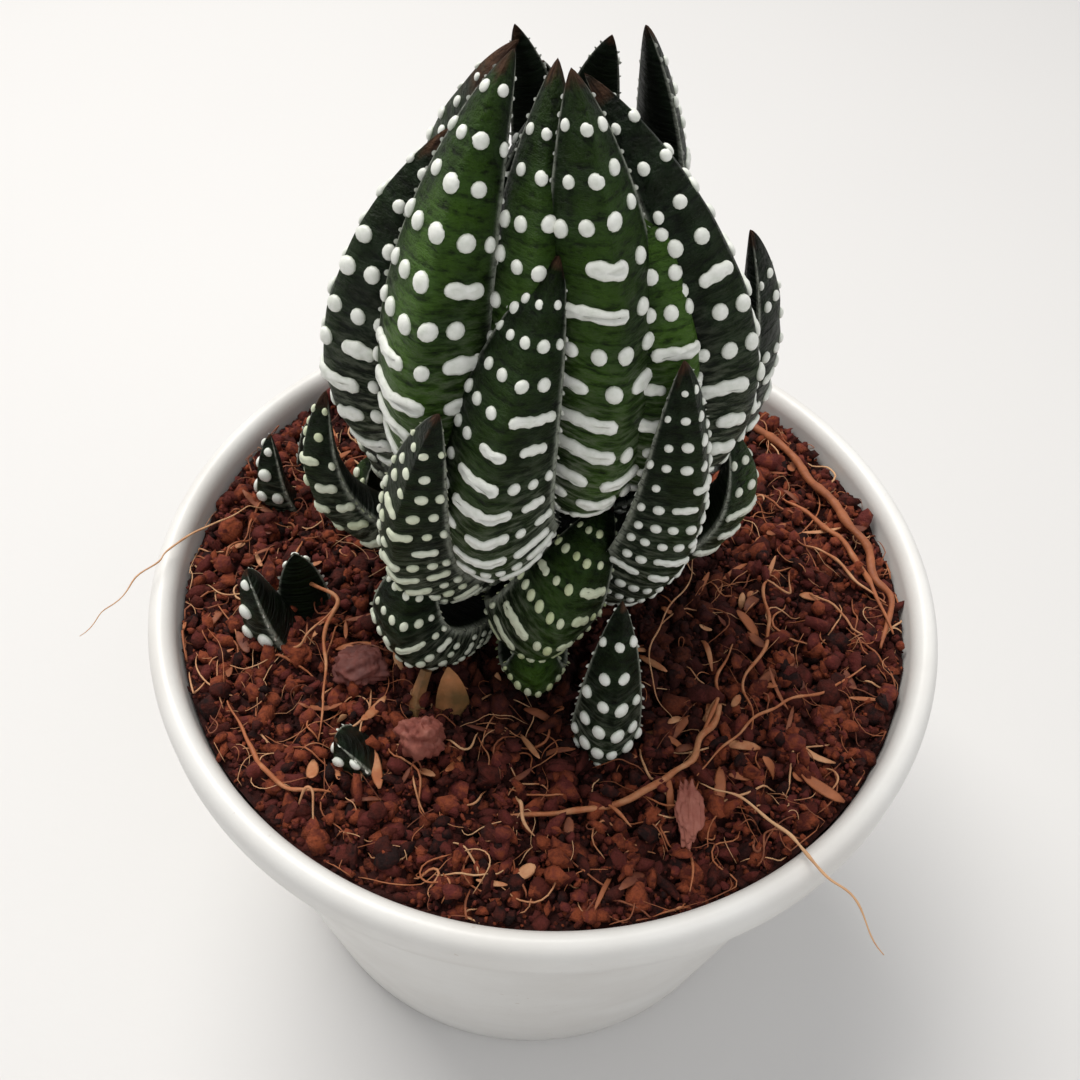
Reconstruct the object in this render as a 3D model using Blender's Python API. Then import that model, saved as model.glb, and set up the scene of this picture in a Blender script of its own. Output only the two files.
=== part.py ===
"""Potted zebra haworthia: a round plastic pot, its coir soil, and a rosette of thick banded leaves.

Units are metres, +Z is up, the front is -Y, and the origin is the middle of the pot's underside.
The pot sets the soil, the soil's top carries the plant, and each leaf, offset, fibre and chip is fitted
round the pieces made before it, with a clearance between every two.
"""

import math
from dataclasses import dataclass

import bmesh
import bpy
import numpy as np

MM = 0.001

# ---- Driving dimensions -------------------------------------------------------------------------

CLEARANCE = 0.4 * MM  # gap between two pieces that meet

POT_HEIGHT = 75.0 * MM
POT_RIM_RADIUS = 52.0 * MM
POT_FOOT_RADIUS = 40.6 * MM
POT_WALL = 1.5 * MM
POT_FLOOR = 2.2 * MM
LIP_WIDTH = 3.5 * MM  # from the mouth to the outside of the rolled lip
LIP_DROP = 6.0 * MM  # height of the lip's outer side
LIP_ROUND = 2.5 * MM  # height of the lip's rounded top
LIP_EDGE = 0.5 * MM  # bevel under the lip
FOOT_BEVEL = 0.8 * MM
GROOVE_DEPTH = 1.5 * MM  # ring-shaped recess under the floor, which the drain holes open into
GROOVE_RADIUS = 27.0 * MM
GROOVE_WIDTH = 10.0 * MM
DRAIN_HOLES = 6
DRAIN_RADIUS = 3.2 * MM
OUTLET_WIDTH = 6.0 * MM  # notch that lets water out from the groove
OUTLET_HEIGHT = 1.0 * MM
OUTLETS = 3
CUT_PAST = 1.0 * MM  # how far a cutter runs past the face that it opens
SEGMENTS = 48

SOIL_DROP = 3.2 * MM  # the soil's top below the pot's rim
SOIL_RIPPLE = 0.5 * MM
SOIL_DIP = 1.2 * MM  # hollow round the foot of the plant
SOIL_DIP_RADIUS = 20.0 * MM
RIPPLE_WAVES = (5.1 * MM, 6.3 * MM, 3.7 * MM)  # the ripples' lengths: across, towards the back and slantwise

PLANT_X = -2.0 * MM
PLANT_Y = 0.0 * MM
ROSETTE_SCALE = 1.0  # the whole rosette against the sizes in the table of leaves
LEAF_DEPTH = 0.55  # a leaf's thickness outside its middle line, against its width
LEAF_BASE_WIDTH = 0.62  # width at the base, against the widest
LEAF_WIDEST_AT = 0.28  # share of the leaf's length by which it reaches its full width
LEAF_BASE_DEPTH = 0.55  # thickness at the base, against the thickest
LEAF_THICKEST_AT = 0.25
LEAF_HOLLOW = 0.3  # how far the inner side bulges in, against the thickness
KEEL_STRENGTH = 0.55  # how far the outer side turns from round to a ridge at the point
STEM_RADIUS = 3.6 * MM
STEM_TIP_RADIUS = 1.6 * MM
STEM_HEIGHT = 46.0 * MM
STEM_DEPTH = 15.0 * MM

ROOT_RADIUS = 1.3 * MM
ROOT_TIP_RADIUS = 0.6 * MM
ROOT_SPREAD = 26.0 * MM
ROOT_TIP_FROM_FLOOR = 14.0 * MM
ROOT_BEARINGS = (20.0, 115.0, 200.0, 290.0)
ROOT_START = 0.65  # how far down the stem's foot the roots leave it
ROOT_SWING = 2.0 * MM  # how far a root swings sideways
# At points along a root: share of its spread, share of its fall, and share of its swing.
ROOT_ROUTE = ((0.02, 0.0, 0.0), (0.35, 0.12, 1.0), (0.7, 0.5, -1.0), (1.0, 1.0, 0.5))

# ---- Finishes: colour, roughness ----------------------------------------------------------------

POT_WHITE = ((0.83, 0.82, 0.78), 0.38)
SOIL_BROWN = ((0.14, 0.045, 0.03), 0.95)
LEAF_GREEN = ((0.025, 0.06, 0.022), 0.42)
STEM_PALE = ((0.33, 0.36, 0.17), 0.6)
ROOT_CREAM = ((0.5, 0.38, 0.22), 0.75)
FIBRE_TAN = ((0.46, 0.22, 0.1), 0.8)
CHIP_PINK = ((0.38, 0.15, 0.11), 0.9)
DRY_BROWN = ((0.33, 0.17, 0.08), 0.8)


@dataclass(frozen=True)
class Leaf:
    """One leaf of a rosette, in millimetres and degrees, from its own plant's axis and the soil's top.

    Attributes:
        name: Its node's name.
        bearing: Direction round the plant, 0 to the front and positive to the right.
        base: Height at which it leaves the stem.
        tip: Height of its point.
        belly: How far out its middle line bulges.
        reach: How far out its point is.
        width: Its widest width.
        sway: Sideways shift of the point, positive to the leaf's own right.
        belly_sway: Sideways shift of the belly.
        roll: Turn of its face about its own length.
        root: How far out it starts.
    """

    name: str
    bearing: float
    base: float
    tip: float
    belly: float
    reach: float
    width: float
    sway: float = 0.0
    belly_sway: float = 0.0
    roll: float = 0.0
    root: float = 2.5


# From the heart outwards: each leaf is fitted round the ones above it in this list.
ROSETTE = (
    Leaf("leaf_heart_right", 40, 42, 64, 6, 2.5, 6.5),
    Leaf("leaf_heart_left", 220, 40, 66, 6.5, 2.5, 6.5),
    Leaf("leaf_crown_back", 190, 36, 73, 11, 4, 8, sway=3.5, belly_sway=-3),
    Leaf("leaf_crown_back_right", 165, 34, 73, 12.5, 3.5, 9.5, sway=-3.5, belly_sway=3.5),
    Leaf("leaf_crown_left", -126, 27, 72, 14.5, 4.5, 10.5),
    Leaf("leaf_crown_front", -7, 29, 75, 12, 6, 12.5, sway=0.7),
    Leaf("leaf_crown_front_right", 46, 30, 71, 15.8, 5, 10.5, sway=-1),
    Leaf("leaf_crown_right", 118, 29, 73.5, 12.5, 8, 11, belly_sway=2, roll=-15),
    Leaf("leaf_upper_front_left", -31, 29, 75, 15.5, 6, 14, sway=-0.5, belly_sway=-2.5, roll=-12),
    Leaf("leaf_upper_front_right", 20, 28, 76, 12.5, 9.2, 14.5, sway=-2.2, belly_sway=2.8, roll=6),
    Leaf("leaf_upper_right", 67, 28, 73.5, 17.5, 4, 13, sway=-4, belly_sway=0.5, roll=10),
    Leaf("leaf_upper_left", -70, 28, 67, 17.5, 9.3, 13),
    Leaf("leaf_upper_back", 178, 26, 68, 16.5, 7, 12.5, sway=2),
    Leaf("leaf_upper_back_left", -125, 22, 61, 18, 10.5, 12.5, sway=2),
    Leaf("leaf_middle_front", -19, 21, 62, 17, 12, 14, sway=5.5, roll=-8),
    Leaf("leaf_middle_back_right", 140, 20, 60, 18.5, 13, 12.5),
    Leaf("leaf_middle_right", 100, 17, 56, 20.5, 19, 11.5, sway=-2.5),
    Leaf("leaf_middle_back", 204, 15, 51, 19.5, 14.5, 12.5),
    Leaf("leaf_lower_front_right", 50, 9, 54, 17.5, 20.3, 12, sway=-4.5, belly_sway=2, roll=14),
    Leaf("leaf_lower_front_left", -48, 10, 51, 19, 21, 11.5, sway=11, roll=-12),
    Leaf("leaf_lower_left", -80, 10, 36, 22.5, 23.5, 9.5, sway=0.5, roll=-22),
    Leaf("leaf_lower_back_left", -104, 11, 47, 18.5, 15, 12),
    Leaf("leaf_lower_right", 84, 9.5, 32.5, 21, 21, 10),
    Leaf("leaf_lower_back_right", 124, 9, 35, 21, 20, 11),
    Leaf("leaf_lower_back", 163, 8, 34, 20.5, 17, 11),
    Leaf("leaf_collar_front", 0, 7, 27, 15, 9, 13, sway=8.5, roll=6),
    Leaf("leaf_collar_front_left", -42, 1.5, 22.5, 20.5, 17.5, 11, sway=1, roll=-30),
    Leaf("leaf_collar_front_low", 4, 1, 10, 17, 16, 9),
    Leaf("leaf_collar_left", -102, 2.5, 17, 20, 21, 9.5),
    Leaf("leaf_collar_back", -145, 4, 26, 20, 18.5, 11.5),
    Leaf("leaf_collar_right", 108, 2.5, 17.5, 19.5, 19.5, 9.5),
)


@dataclass(frozen=True)
class Offset:
    """A young plant beside the rosette: its bearing and distance from the pot's wall, and its leaves."""

    bearing: float
    from_wall: float
    leaves: tuple


OFFSETS = (
    Offset(
        22,
        25.5,
        (
            Leaf("offset_front_leaf", 0, -3, 22, 2.3, -1.5, 8.5, root=0.5),
        ),
    ),
    Offset(
        -72,
        16,
        (
            Leaf("offset_left_leaf_1", -75, -3, 12, 4, 6, 9, root=0.5),
            Leaf("offset_left_leaf_2", 200, -3, 9.5, 3.5, 3.5, 7, root=0.5),
        ),
    ),
    Offset(
        -110,
        10,
        (
            Leaf("offset_back_left_leaf_1", -60, -3, 12, 3, 3, 7.5, root=0.5),
            Leaf("offset_back_left_leaf_2", 156, -3, 10, 3.8, 4.2, 7.5, root=0.5),
        ),
    ),
    Offset(
        -34,
        15.5,
        (
            Leaf("offset_corner_leaf", -60, -1.5, 5, 2.8, 5.5, 8, root=0.5),
        ),
    ),
)

DRIED_LEAF = Leaf("dried_leaf", 200, -1.5, 6.5, 1.5, 3.0, 4.5, root=0.5)
DRIED_LEAF_PLACE = (-24.0, 23.5)  # bearing in degrees, and distance from the pot's wall


@dataclass(frozen=True)
class Fibre:
    """A coir fibre lying on the soil.

    Attributes:
        name: Its node's name.
        radius: Its thickest radius in millimetres.
        route: Its points: bearing in degrees, distance from the pot's wall and height over the soil.
    """

    name: str
    radius: float
    route: tuple


FIBRES = (
    Fibre(
        "coir_fibre_forked",
        0.6,
        ((-5, 12.6, 0), (2, 12.7, 0.2), (20, 13.5, 0.4), (31, 15.3, 0.4), (49, 19, 0)),
    ),
    Fibre(
        "coir_fibre_pale",
        0.35,
        ((34.5, 11.5, 0.8), (36, 9.6, 1.8), (37.3, 7, 2.4), (37.7, 3.5, 3), (38, 0.5, 3.6)),
    ),
    Fibre(
        "coir_fibre_left",
        0.45,
        ((-93, 14, 0.4), (-82, 16, 2), (-70, 20, 2.4), (-57, 16.2, 1), (-46, 11, 0)),
    ),
    Fibre(
        "coir_fibre_right",
        0.4,
        ((95, 17.8, 0), (87, 19.2, 0.8), (74, 17.4, 0.6), (61, 17.7, 0.6), (52, 14.5, 0)),
    ),
    Fibre(
        "coir_fibre_crossing",
        0.35,
        ((36, 13, 0.4), (44, 14.8, 1.2), (60, 12.2, 1), (68, 7.8, 0.6), (74, 5, 0)),
    ),
    Fibre(
        "coir_fibre_wall",
        0.45,
        ((-58, 4, 0), (-46, 3.5, 0.4), (-39, 4.1, 0.6), (-35, 6, 0)),
    ),
)


@dataclass(frozen=True)
class Chip:
    """A flake of coir: its place, its three half sizes and its turns, in millimetres and degrees."""

    name: str
    bearing: float
    from_wall: float
    height: float
    half_sizes: tuple
    tilt: float
    turn: float


CHIPS = (
    Chip("coir_chip_front", -26.0, 17.7, 3.0, (3.0, 1.8, 3.6), 12.0, 25.0),
    Chip("coir_chip_left", -53.0, 19.7, 1.8, (3.4, 2.4, 1.6), 8.0, -20.0),
    Chip("coir_husk_flake", 28.5, 9.7, 1.5, (1.5, 4.0, 0.8), 6.0, 4.0),
)

STALK_FOOT = (-33.0, 21.0)  # the dry stalk's bearing in degrees, and its distance from the pot's wall
STALK_TOP = (-37.0, 25.0)
STALK_HEIGHT = 3.5 * MM
STALK_RADIUS = 1.0 * MM
STALK_BURIED = 1.5 * MM
STALK_BEND = 0.4 * MM
CHIP_ROUGHNESS = 0.12  # how far a chip's skin goes in and out, against its size

# ---- How finely the skins are divided -----------------------------------------------------------

LIP_STEPS = 6
DRAIN_SIDES = 12
SOIL_RINGS = (1.0, 0.93, 0.82, 0.68, 0.53, 0.37, 0.2)  # shares of the soil's radius
LEAF_RINGS = 8
LEAF_LAST_RING = 0.985  # the last ring before the point, as a share of the leaf's length
OUTER_SIDE = (-1.0, -0.8, -0.45, -0.1, 0.15, 0.45, 0.75)
INNER_SIDE = (1.0, 0.5, 0.0, -0.5)
KEEL_SIDE = 0.15  # where the keel runs across the outer side, from -1 to 1
ROOT_SIDES = 7
FIBRE_SIDES = 5
STEM_SEGMENTS = 14
STEM_RINGS = 6
MOST_MITRE = 2.5  # limit on how far a sharp edge moves out when a skin is grown

# ---- Worked out from the sizes above ------------------------------------------------------------

MOUTH_RADIUS = POT_RIM_RADIUS - LIP_WIDTH
LIP_CENTRE_HEIGHT = POT_HEIGHT - LIP_ROUND
FLOOR_TOP = GROOVE_DEPTH + POT_FLOOR
SOIL_TOP = POT_HEIGHT - SOIL_DROP


def inner_wall(height):
    """Radius of the pot's inside at a height."""
    foot = POT_FOOT_RADIUS - POT_WALL
    return foot + (MOUTH_RADIUS - foot) * height / LIP_CENTRE_HEIGHT


SOIL_RADIUS = inner_wall(SOIL_TOP) - CLEARANCE


def soil_height(x, y):
    """Height of the soil's uneven top at a place: soft ripples, and a hollow round the plant."""
    wide, deep, slant = RIPPLE_WAVES
    ripple = math.sin(x / wide + 0.8) * math.cos(y / deep) + 0.6 * math.sin((x - y) / slant)
    away = math.hypot(x - PLANT_X, y - PLANT_Y) / SOIL_DIP_RADIUS
    return SOIL_TOP + SOIL_RIPPLE * ripple / 1.6 - SOIL_DIP * math.exp(-away * away)


def from_wall(bearing, distance):
    """Place on the soil, from a bearing in degrees and a distance in millimetres from the pot's wall."""
    radius = SOIL_RADIUS - distance * MM
    angle = math.radians(bearing)
    return radius * math.sin(angle), -radius * math.cos(angle)


# ---- Making and fitting solids ------------------------------------------------------------------


def clear_scene():
    """Remove every object that the new file holds."""
    for obj in list(bpy.data.objects):
        bpy.data.objects.remove(obj)


def make_material(name, finish):
    """A material from a finish's colour and roughness."""
    colour, roughness = finish
    material = bpy.data.materials.new(name)
    material.use_nodes = True
    shader = material.node_tree.nodes["Principled BSDF"]
    shader.inputs["Base Color"].default_value = (*colour, 1.0)
    shader.inputs["Roughness"].default_value = roughness
    shader.inputs["Metallic"].default_value = 0.0
    material.diffuse_color = (*colour, 1.0)
    return material


def add_solid(name, points, faces, finish, crease=40.0):
    """A closed solid with its faces turned outward, smooth except past the crease angle."""
    mesh = bpy.data.meshes.new(name)
    mesh.from_pydata([tuple(point) for point in points], [], faces)
    skin = bmesh.new()
    skin.from_mesh(mesh)
    bmesh.ops.recalc_face_normals(skin, faces=skin.faces)
    if skin.calc_volume(signed=True) < 0:
        bmesh.ops.reverse_faces(skin, faces=skin.faces)
    skin.to_mesh(mesh)
    skin.free()
    mesh.shade_smooth()
    mesh.set_sharp_from_angle(angle=math.radians(crease))
    mesh.materials.append(make_material(name, finish))
    solid = bpy.data.objects.new(name, mesh)
    bpy.context.collection.objects.link(solid)
    return solid


def loft(name, rings, finish, crease=40.0):
    """A skin over rings with the same number of points each, closed by a face at either end."""
    count = len(rings[0])
    points = [point for ring in rings for point in ring]
    faces = [tuple(range(count))]
    for row in range(len(rings) - 1):
        for side in range(count):
            after = (side + 1) % count
            low = row * count
            high = low + count
            faces.append((low + side, low + after, high + after, high + side))
    faces.append(tuple(range(len(points) - count, len(points))))
    return add_solid(name, points, faces, finish, crease)


def turned(name, profile, segments, finish):
    """A solid of revolution about Z. Its profile runs between two points on the axis."""
    points = [(0.0, 0.0, profile[0][1])]
    faces = []
    turns = [2.0 * math.pi * index / segments for index in range(segments)]
    for radius, height in profile[1:-1]:
        points += [(radius * math.cos(turn), radius * math.sin(turn), height) for turn in turns]
    points.append((0.0, 0.0, profile[-1][1]))
    last = len(points) - 1
    for side in range(segments):
        after = (side + 1) % segments
        faces.append((0, 1 + side, 1 + after))
        faces.append((last, last - segments + after, last - segments + side))
        for row in range(len(profile) - 3):
            low = 1 + row * segments
            high = low + segments
            faces.append((low + side, low + after, high + after, high + side))
    return add_solid(name, points, faces, finish)


def smooth_route(points, steps):
    """Points along a Catmull-Rom curve through the given ones."""
    points = [np.array(point, dtype=float) for point in points]
    ends = [2 * points[0] - points[1], *points, 2 * points[-1] - points[-2]]
    route = []
    for index in range(len(points) - 1):
        before, start, end, after = ends[index : index + 4]
        for step in range(steps):
            t = step / steps
            bend = 2 * before - 5 * start + 4 * end - after
            twist = 3 * start - before - 3 * end + after
            route.append(0.5 * (2 * start + (end - before) * t + bend * t * t + twist * t**3))
    route.append(points[-1])
    return route


def tube(name, route, radii, sides, finish):
    """A round rod along a route, with its own radius at each point."""
    rings = []
    across = np.array((0.0, 0.0, 1.0))
    for index, (centre, radius) in enumerate(zip(route, radii)):
        ahead = route[min(index + 1, len(route) - 1)] - route[max(index - 1, 0)]
        ahead /= np.linalg.norm(ahead)
        if index == 0 and abs(ahead[2]) > 0.9:
            across = np.array((1.0, 0.0, 0.0))
        across = across - ahead * across.dot(ahead)
        across /= np.linalg.norm(across)
        beside = np.cross(ahead, across)
        turns = [2 * math.pi * side / sides for side in range(sides)]
        rings.append([centre + radius * (math.cos(a) * across + math.sin(a) * beside) for a in turns])
    return loft(name, rings, finish)


def grown_copy(solid):
    """A hidden cutter: the solid's skin moved out by the clearance, square to its faces."""
    skin = bmesh.new()
    skin.from_mesh(solid.data)
    skin.normal_update()
    moves = [vertex.normal * min(vertex.calc_shell_factor(), MOST_MITRE) for vertex in skin.verts]
    for vertex, move in zip(skin.verts, moves):
        vertex.co += move * CLEARANCE
    mesh = bpy.data.meshes.new(solid.name + "_room")
    skin.to_mesh(mesh)
    skin.free()
    cutter = bpy.data.objects.new(mesh.name, mesh)
    cutter.hide_render = True
    cutter.display_type = "WIRE"
    bpy.context.collection.objects.link(cutter)
    return cutter


def box_of(solid):
    """Lowest and highest corner of a solid."""
    places = np.array([vertex.co for vertex in solid.data.vertices])
    return places.min(axis=0), places.max(axis=0)


def boxes_meet(first, second):
    """Whether two solids' boxes touch."""
    first_low, first_high = box_of(first)
    second_low, second_high = box_of(second)
    return bool((first_low < second_high).all() and (second_low < first_high).all())


def bodies_of(skin):
    """The separate bodies in a mesh, each as a set of faces."""
    bodies = []
    left = set(skin.faces)
    while left:
        front = [left.pop()]
        body = set(front)
        while front:
            face = front.pop()
            for edge in face.edges:
                for other in edge.link_faces:
                    if other in left:
                        left.remove(other)
                        body.add(other)
                        front.append(other)
        bodies.append(body)
    return bodies


def body_volume(body):
    """Volume inside a closed set of faces."""
    volume = 0.0
    for face in body:
        corners = [vertex.co for vertex in face.verts]
        for index in range(1, len(corners) - 1):
            volume += corners[0].dot(corners[index].cross(corners[index + 1])) / 6.0
    return volume


def carve(solid, cutters):
    """Cut the room for its neighbours out of a solid, and keep the largest body that is left.

    The manifold solver is used because skins that all but touch can come out of the exact one open.
    """
    for cutter in cutters:
        if not boxes_meet(solid, cutter):
            continue
        cut = solid.modifiers.new(cutter.name, "BOOLEAN")
        cut.operation = "DIFFERENCE"
        cut.solver = "MANIFOLD"
        cut.object = cutter
        graph = bpy.context.evaluated_depsgraph_get()
        mesh = bpy.data.meshes.new_from_object(solid.evaluated_get(graph))
        solid.modifiers.clear()
        whole = solid.data
        solid.data = mesh
        bpy.data.meshes.remove(whole)
        mesh.name = solid.name
        skin = bmesh.new()
        skin.from_mesh(mesh)
        bodies = sorted(bodies_of(skin), key=body_volume)
        spare = [face for body in bodies[:-1] for face in body]
        bmesh.ops.delete(skin, geom=spare, context="FACES")
        skin.to_mesh(mesh)
        skin.free()


# ---- Pot and soil -------------------------------------------------------------------------------


def lip_arc():
    """The lip's rounded top, half an ellipse from its outer side over to the mouth."""
    middle = MOUTH_RADIUS + LIP_WIDTH / 2
    points = []
    for step in range(LIP_STEPS + 1):
        angle = math.pi * step / LIP_STEPS
        radius = middle + LIP_WIDTH / 2 * math.cos(angle)
        points.append((radius, LIP_CENTRE_HEIGHT + LIP_ROUND * math.sin(angle)))
    return points


def make_pot():
    """The pot: tapered wall, rolled lip, and a grooved floor with drain holes and outlets."""
    lip_low = POT_HEIGHT - LIP_DROP
    groove_in = GROOVE_RADIUS - GROOVE_WIDTH / 2
    groove_out = GROOVE_RADIUS + GROOVE_WIDTH / 2
    profile = [
        (0.0, 0.0),
        (groove_in, 0.0),
        (groove_in, GROOVE_DEPTH),
        (groove_out, GROOVE_DEPTH),
        (groove_out, 0.0),
        (POT_FOOT_RADIUS - FOOT_BEVEL, 0.0),
        (inner_wall(FOOT_BEVEL) + POT_WALL, FOOT_BEVEL),
        (inner_wall(lip_low) + POT_WALL, lip_low),
        (POT_RIM_RADIUS - LIP_EDGE, lip_low),
        (POT_RIM_RADIUS, lip_low + LIP_EDGE),
        *lip_arc(),
        (inner_wall(FLOOR_TOP), FLOOR_TOP),
        (0.0, FLOOR_TOP),
    ]
    pot = turned("pot", profile, SEGMENTS, POT_WHITE)
    up = np.array((0.0, 0.0, 1.0))
    cutters = []
    for index in range(DRAIN_HOLES):
        angle = 2 * math.pi * index / DRAIN_HOLES + math.pi / SEGMENTS
        centre = np.array((GROOVE_RADIUS * math.sin(angle), -GROOVE_RADIUS * math.cos(angle), 0.0))
        route = [centre - up * CUT_PAST, centre + up * (FLOOR_TOP + CUT_PAST)]
        hole = tube(f"drain_room_{index + 1}", route, [DRAIN_RADIUS] * 2, DRAIN_SIDES, POT_WHITE)
        cutters.append(hole)
    for index in range(OUTLETS):
        angle = 2 * math.pi * (index + 0.5) / OUTLETS
        out = np.array((math.sin(angle), -math.cos(angle), 0.0))
        side = np.array((math.cos(angle), math.sin(angle), 0.0)) * OUTLET_WIDTH / 2
        rings = []
        for radius in (GROOVE_RADIUS, POT_RIM_RADIUS):
            low = out * radius - up * CUT_PAST
            high = out * radius + up * OUTLET_HEIGHT
            rings.append([low - side, low + side, high + side, high - side])
        cutters.append(loft(f"outlet_room_{index + 1}", rings, POT_WHITE))
    carve(pot, cutters)
    for cutter in cutters:
        bpy.data.objects.remove(cutter)
    return pot


def make_soil():
    """The soil's body: it fills the pot with a clearance, and has an uneven top."""
    low = FLOOR_TOP + CLEARANCE
    turns = [2 * math.pi * index / SEGMENTS for index in range(SEGMENTS)]
    rings = []
    for radius in (0.5 * inner_wall(low), inner_wall(low) - CLEARANCE):
        rings.append([(radius * math.cos(a), radius * math.sin(a), low) for a in turns])
    for share in SOIL_RINGS:
        ring = []
        for angle in turns:
            x = share * SOIL_RADIUS * math.cos(angle)
            y = share * SOIL_RADIUS * math.sin(angle)
            ring.append((x, y, soil_height(x, y) if share < 1.0 else SOIL_TOP - SOIL_RIPPLE))
        rings.append(ring)
    return loft("soil", rings, SOIL_BROWN)


# ---- Plant --------------------------------------------------------------------------------------


def along_leaf(leaf, shares, scale):
    """A leaf's middle line, from a cubic curve that leaves the stem, swells to the belly and closes in.

    Args:
        leaf: The leaf.
        shares: Places along it, from 0 at the base to 1 at the point.
        scale: How large its plant is.

    Returns:
        The points, and at each the unit vectors across the leaf and out of its face.
    """
    angle = math.radians(leaf.bearing)
    out = np.array((math.sin(angle), -math.cos(angle), 0.0))
    beside = np.array((math.cos(angle), math.sin(angle), 0.0))
    up = np.array((0.0, 0.0, 1.0))
    rise = leaf.tip - leaf.base
    swell = (leaf.belly - 0.125 * (leaf.root + leaf.reach)) / 0.75
    base = out * leaf.root + up * leaf.base
    low = out * swell + up * (leaf.base + 0.08 * rise) + beside * leaf.belly_sway
    high = out * swell + up * (leaf.base + 0.6 * rise) + beside * (leaf.belly_sway + 0.5 * leaf.sway)
    tip = out * leaf.reach + up * leaf.tip + beside * leaf.sway
    t = np.array(shares)[:, None]
    rest = 1.0 - t
    middle = rest**3 * base + 3 * rest**2 * t * low + 3 * rest * t**2 * high + t**3 * tip
    ahead = rest**2 * (low - base) + 2 * rest * t * (high - low) + t**2 * (tip - high)
    ahead /= np.linalg.norm(ahead, axis=1)[:, None]
    across = beside - (ahead @ beside)[:, None] * ahead
    across /= np.linalg.norm(across, axis=1)[:, None]
    facing = np.cross(across, ahead)
    roll = math.radians(leaf.roll)
    rolled_across = across * math.cos(roll) + facing * math.sin(roll)
    rolled_facing = facing * math.cos(roll) - across * math.sin(roll)
    return middle * scale * MM, rolled_across, rolled_facing


def leaf_width(share):
    """Width along a leaf, against its widest: narrow at the base, then tapering to the point."""
    base = LEAF_BASE_WIDTH + (1.0 - LEAF_BASE_WIDTH) * min(share / LEAF_WIDEST_AT, 1.0) ** 0.8
    return base * (1.0 - share**3) ** 0.8


def leaf_depth(share):
    """Thickness along a leaf, against its thickest."""
    base = LEAF_BASE_DEPTH + (1.0 - LEAF_BASE_DEPTH) * min(share / LEAF_THICKEST_AT, 1.0)
    return base * (1.0 - share**2) ** 0.7


def outer_height(share, side):
    """Height of a leaf's outer side: round near the base, with a keel off its middle near the point."""
    keel = KEEL_STRENGTH * min(max((share - 0.25) / 0.6, 0.0), 1.0)
    slope = (side - KEEL_SIDE) / (1 + KEEL_SIDE if side < KEEL_SIDE else 1 - KEEL_SIDE)
    round_height = (1.0 - side * side) ** 0.8
    return (1.0 - keel) * round_height + keel * 1.05 * (1.0 - abs(slope))


def make_leaf(leaf, place, scale, finish=LEAF_GREEN):
    """A leaf's closed skin, standing at its plant's place."""
    shares = [LEAF_LAST_RING * (index / (LEAF_RINGS - 1)) ** 0.95 for index in range(LEAF_RINGS)]
    middle, across, facing = along_leaf(leaf, shares, scale)
    sections = [(side, True) for side in OUTER_SIDE] + [(side, False) for side in INNER_SIDE]
    rings = []
    for index, share in enumerate(shares):
        half_width = 0.5 * leaf.width * leaf_width(share) * scale * MM
        depth = LEAF_DEPTH * leaf.width * leaf_depth(share) * scale * MM
        ring = []
        for side, outer in sections:
            if outer:
                height = outer_height(share, side)
            else:
                height = -LEAF_HOLLOW * (1.0 - side * side)
            point = middle[index] + across[index] * half_width * side + facing[index] * depth * height
            ring.append(point + place)
        rings.append(ring)
    return loft(leaf.name, rings, finish)


def make_stem(place):
    """The short stem, tapering from the soil to the heart of the rosette."""
    low = SOIL_TOP - STEM_DEPTH
    high = SOIL_TOP + STEM_HEIGHT * ROSETTE_SCALE
    shares = [index / (STEM_RINGS - 1) for index in range(STEM_RINGS)]
    route = [place + np.array((0.0, 0.0, low + (high - low) * share)) for share in shares]
    radii = [STEM_RADIUS + (STEM_TIP_RADIUS - STEM_RADIUS) * share for share in shares]
    return tube("stem", route, radii, STEM_SEGMENTS, STEM_PALE)


def make_root(index, bearing, place):
    """A root, from inside the stem's foot out and down through the soil."""
    angle = math.radians(bearing)
    out = np.array((math.sin(angle), -math.cos(angle), 0.0))
    beside = np.array((math.cos(angle), math.sin(angle), 0.0)) * (ROOT_SWING if index % 2 else -ROOT_SWING)
    start = SOIL_TOP - ROOT_START * STEM_DEPTH
    end = FLOOR_TOP + ROOT_TIP_FROM_FLOOR
    route = []
    for share, fall, wave in ROOT_ROUTE:
        height = np.array((0.0, 0.0, start + (end - start) * fall))
        route.append(place + out * ROOT_SPREAD * share + beside * wave + height)
    route = smooth_route(route, 4)
    last = len(route) - 1
    radii = [ROOT_RADIUS + (ROOT_TIP_RADIUS - ROOT_RADIUS) * step / last for step in range(last + 1)]
    return tube(f"root_{index + 1}", route, radii, ROOT_SIDES, ROOT_CREAM)


def standing_at(bearing, distance):
    """A place on the soil's top, as a vector at the soil's mean height."""
    x, y = from_wall(bearing, distance)
    return np.array((x, y, SOIL_TOP))


# ---- Remains and coir ---------------------------------------------------------------------------


def make_stalk():
    """The dry stalk, from just under the soil up to the lowest leaves."""
    foot = standing_at(*STALK_FOOT) - np.array((0.0, 0.0, STALK_BURIED))
    top = standing_at(*STALK_TOP) + np.array((0.0, 0.0, STALK_HEIGHT))
    middle = (foot + top) / 2 + np.array((-STALK_BEND, 0.0, 0.0))
    route = smooth_route([foot, middle, top], 3)
    radii = [STALK_RADIUS * (1.2 - 0.4 * step / (len(route) - 1)) for step in range(len(route))]
    return tube("dry_stalk", route, radii, FIBRE_SIDES + 1, DRY_BROWN)


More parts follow.
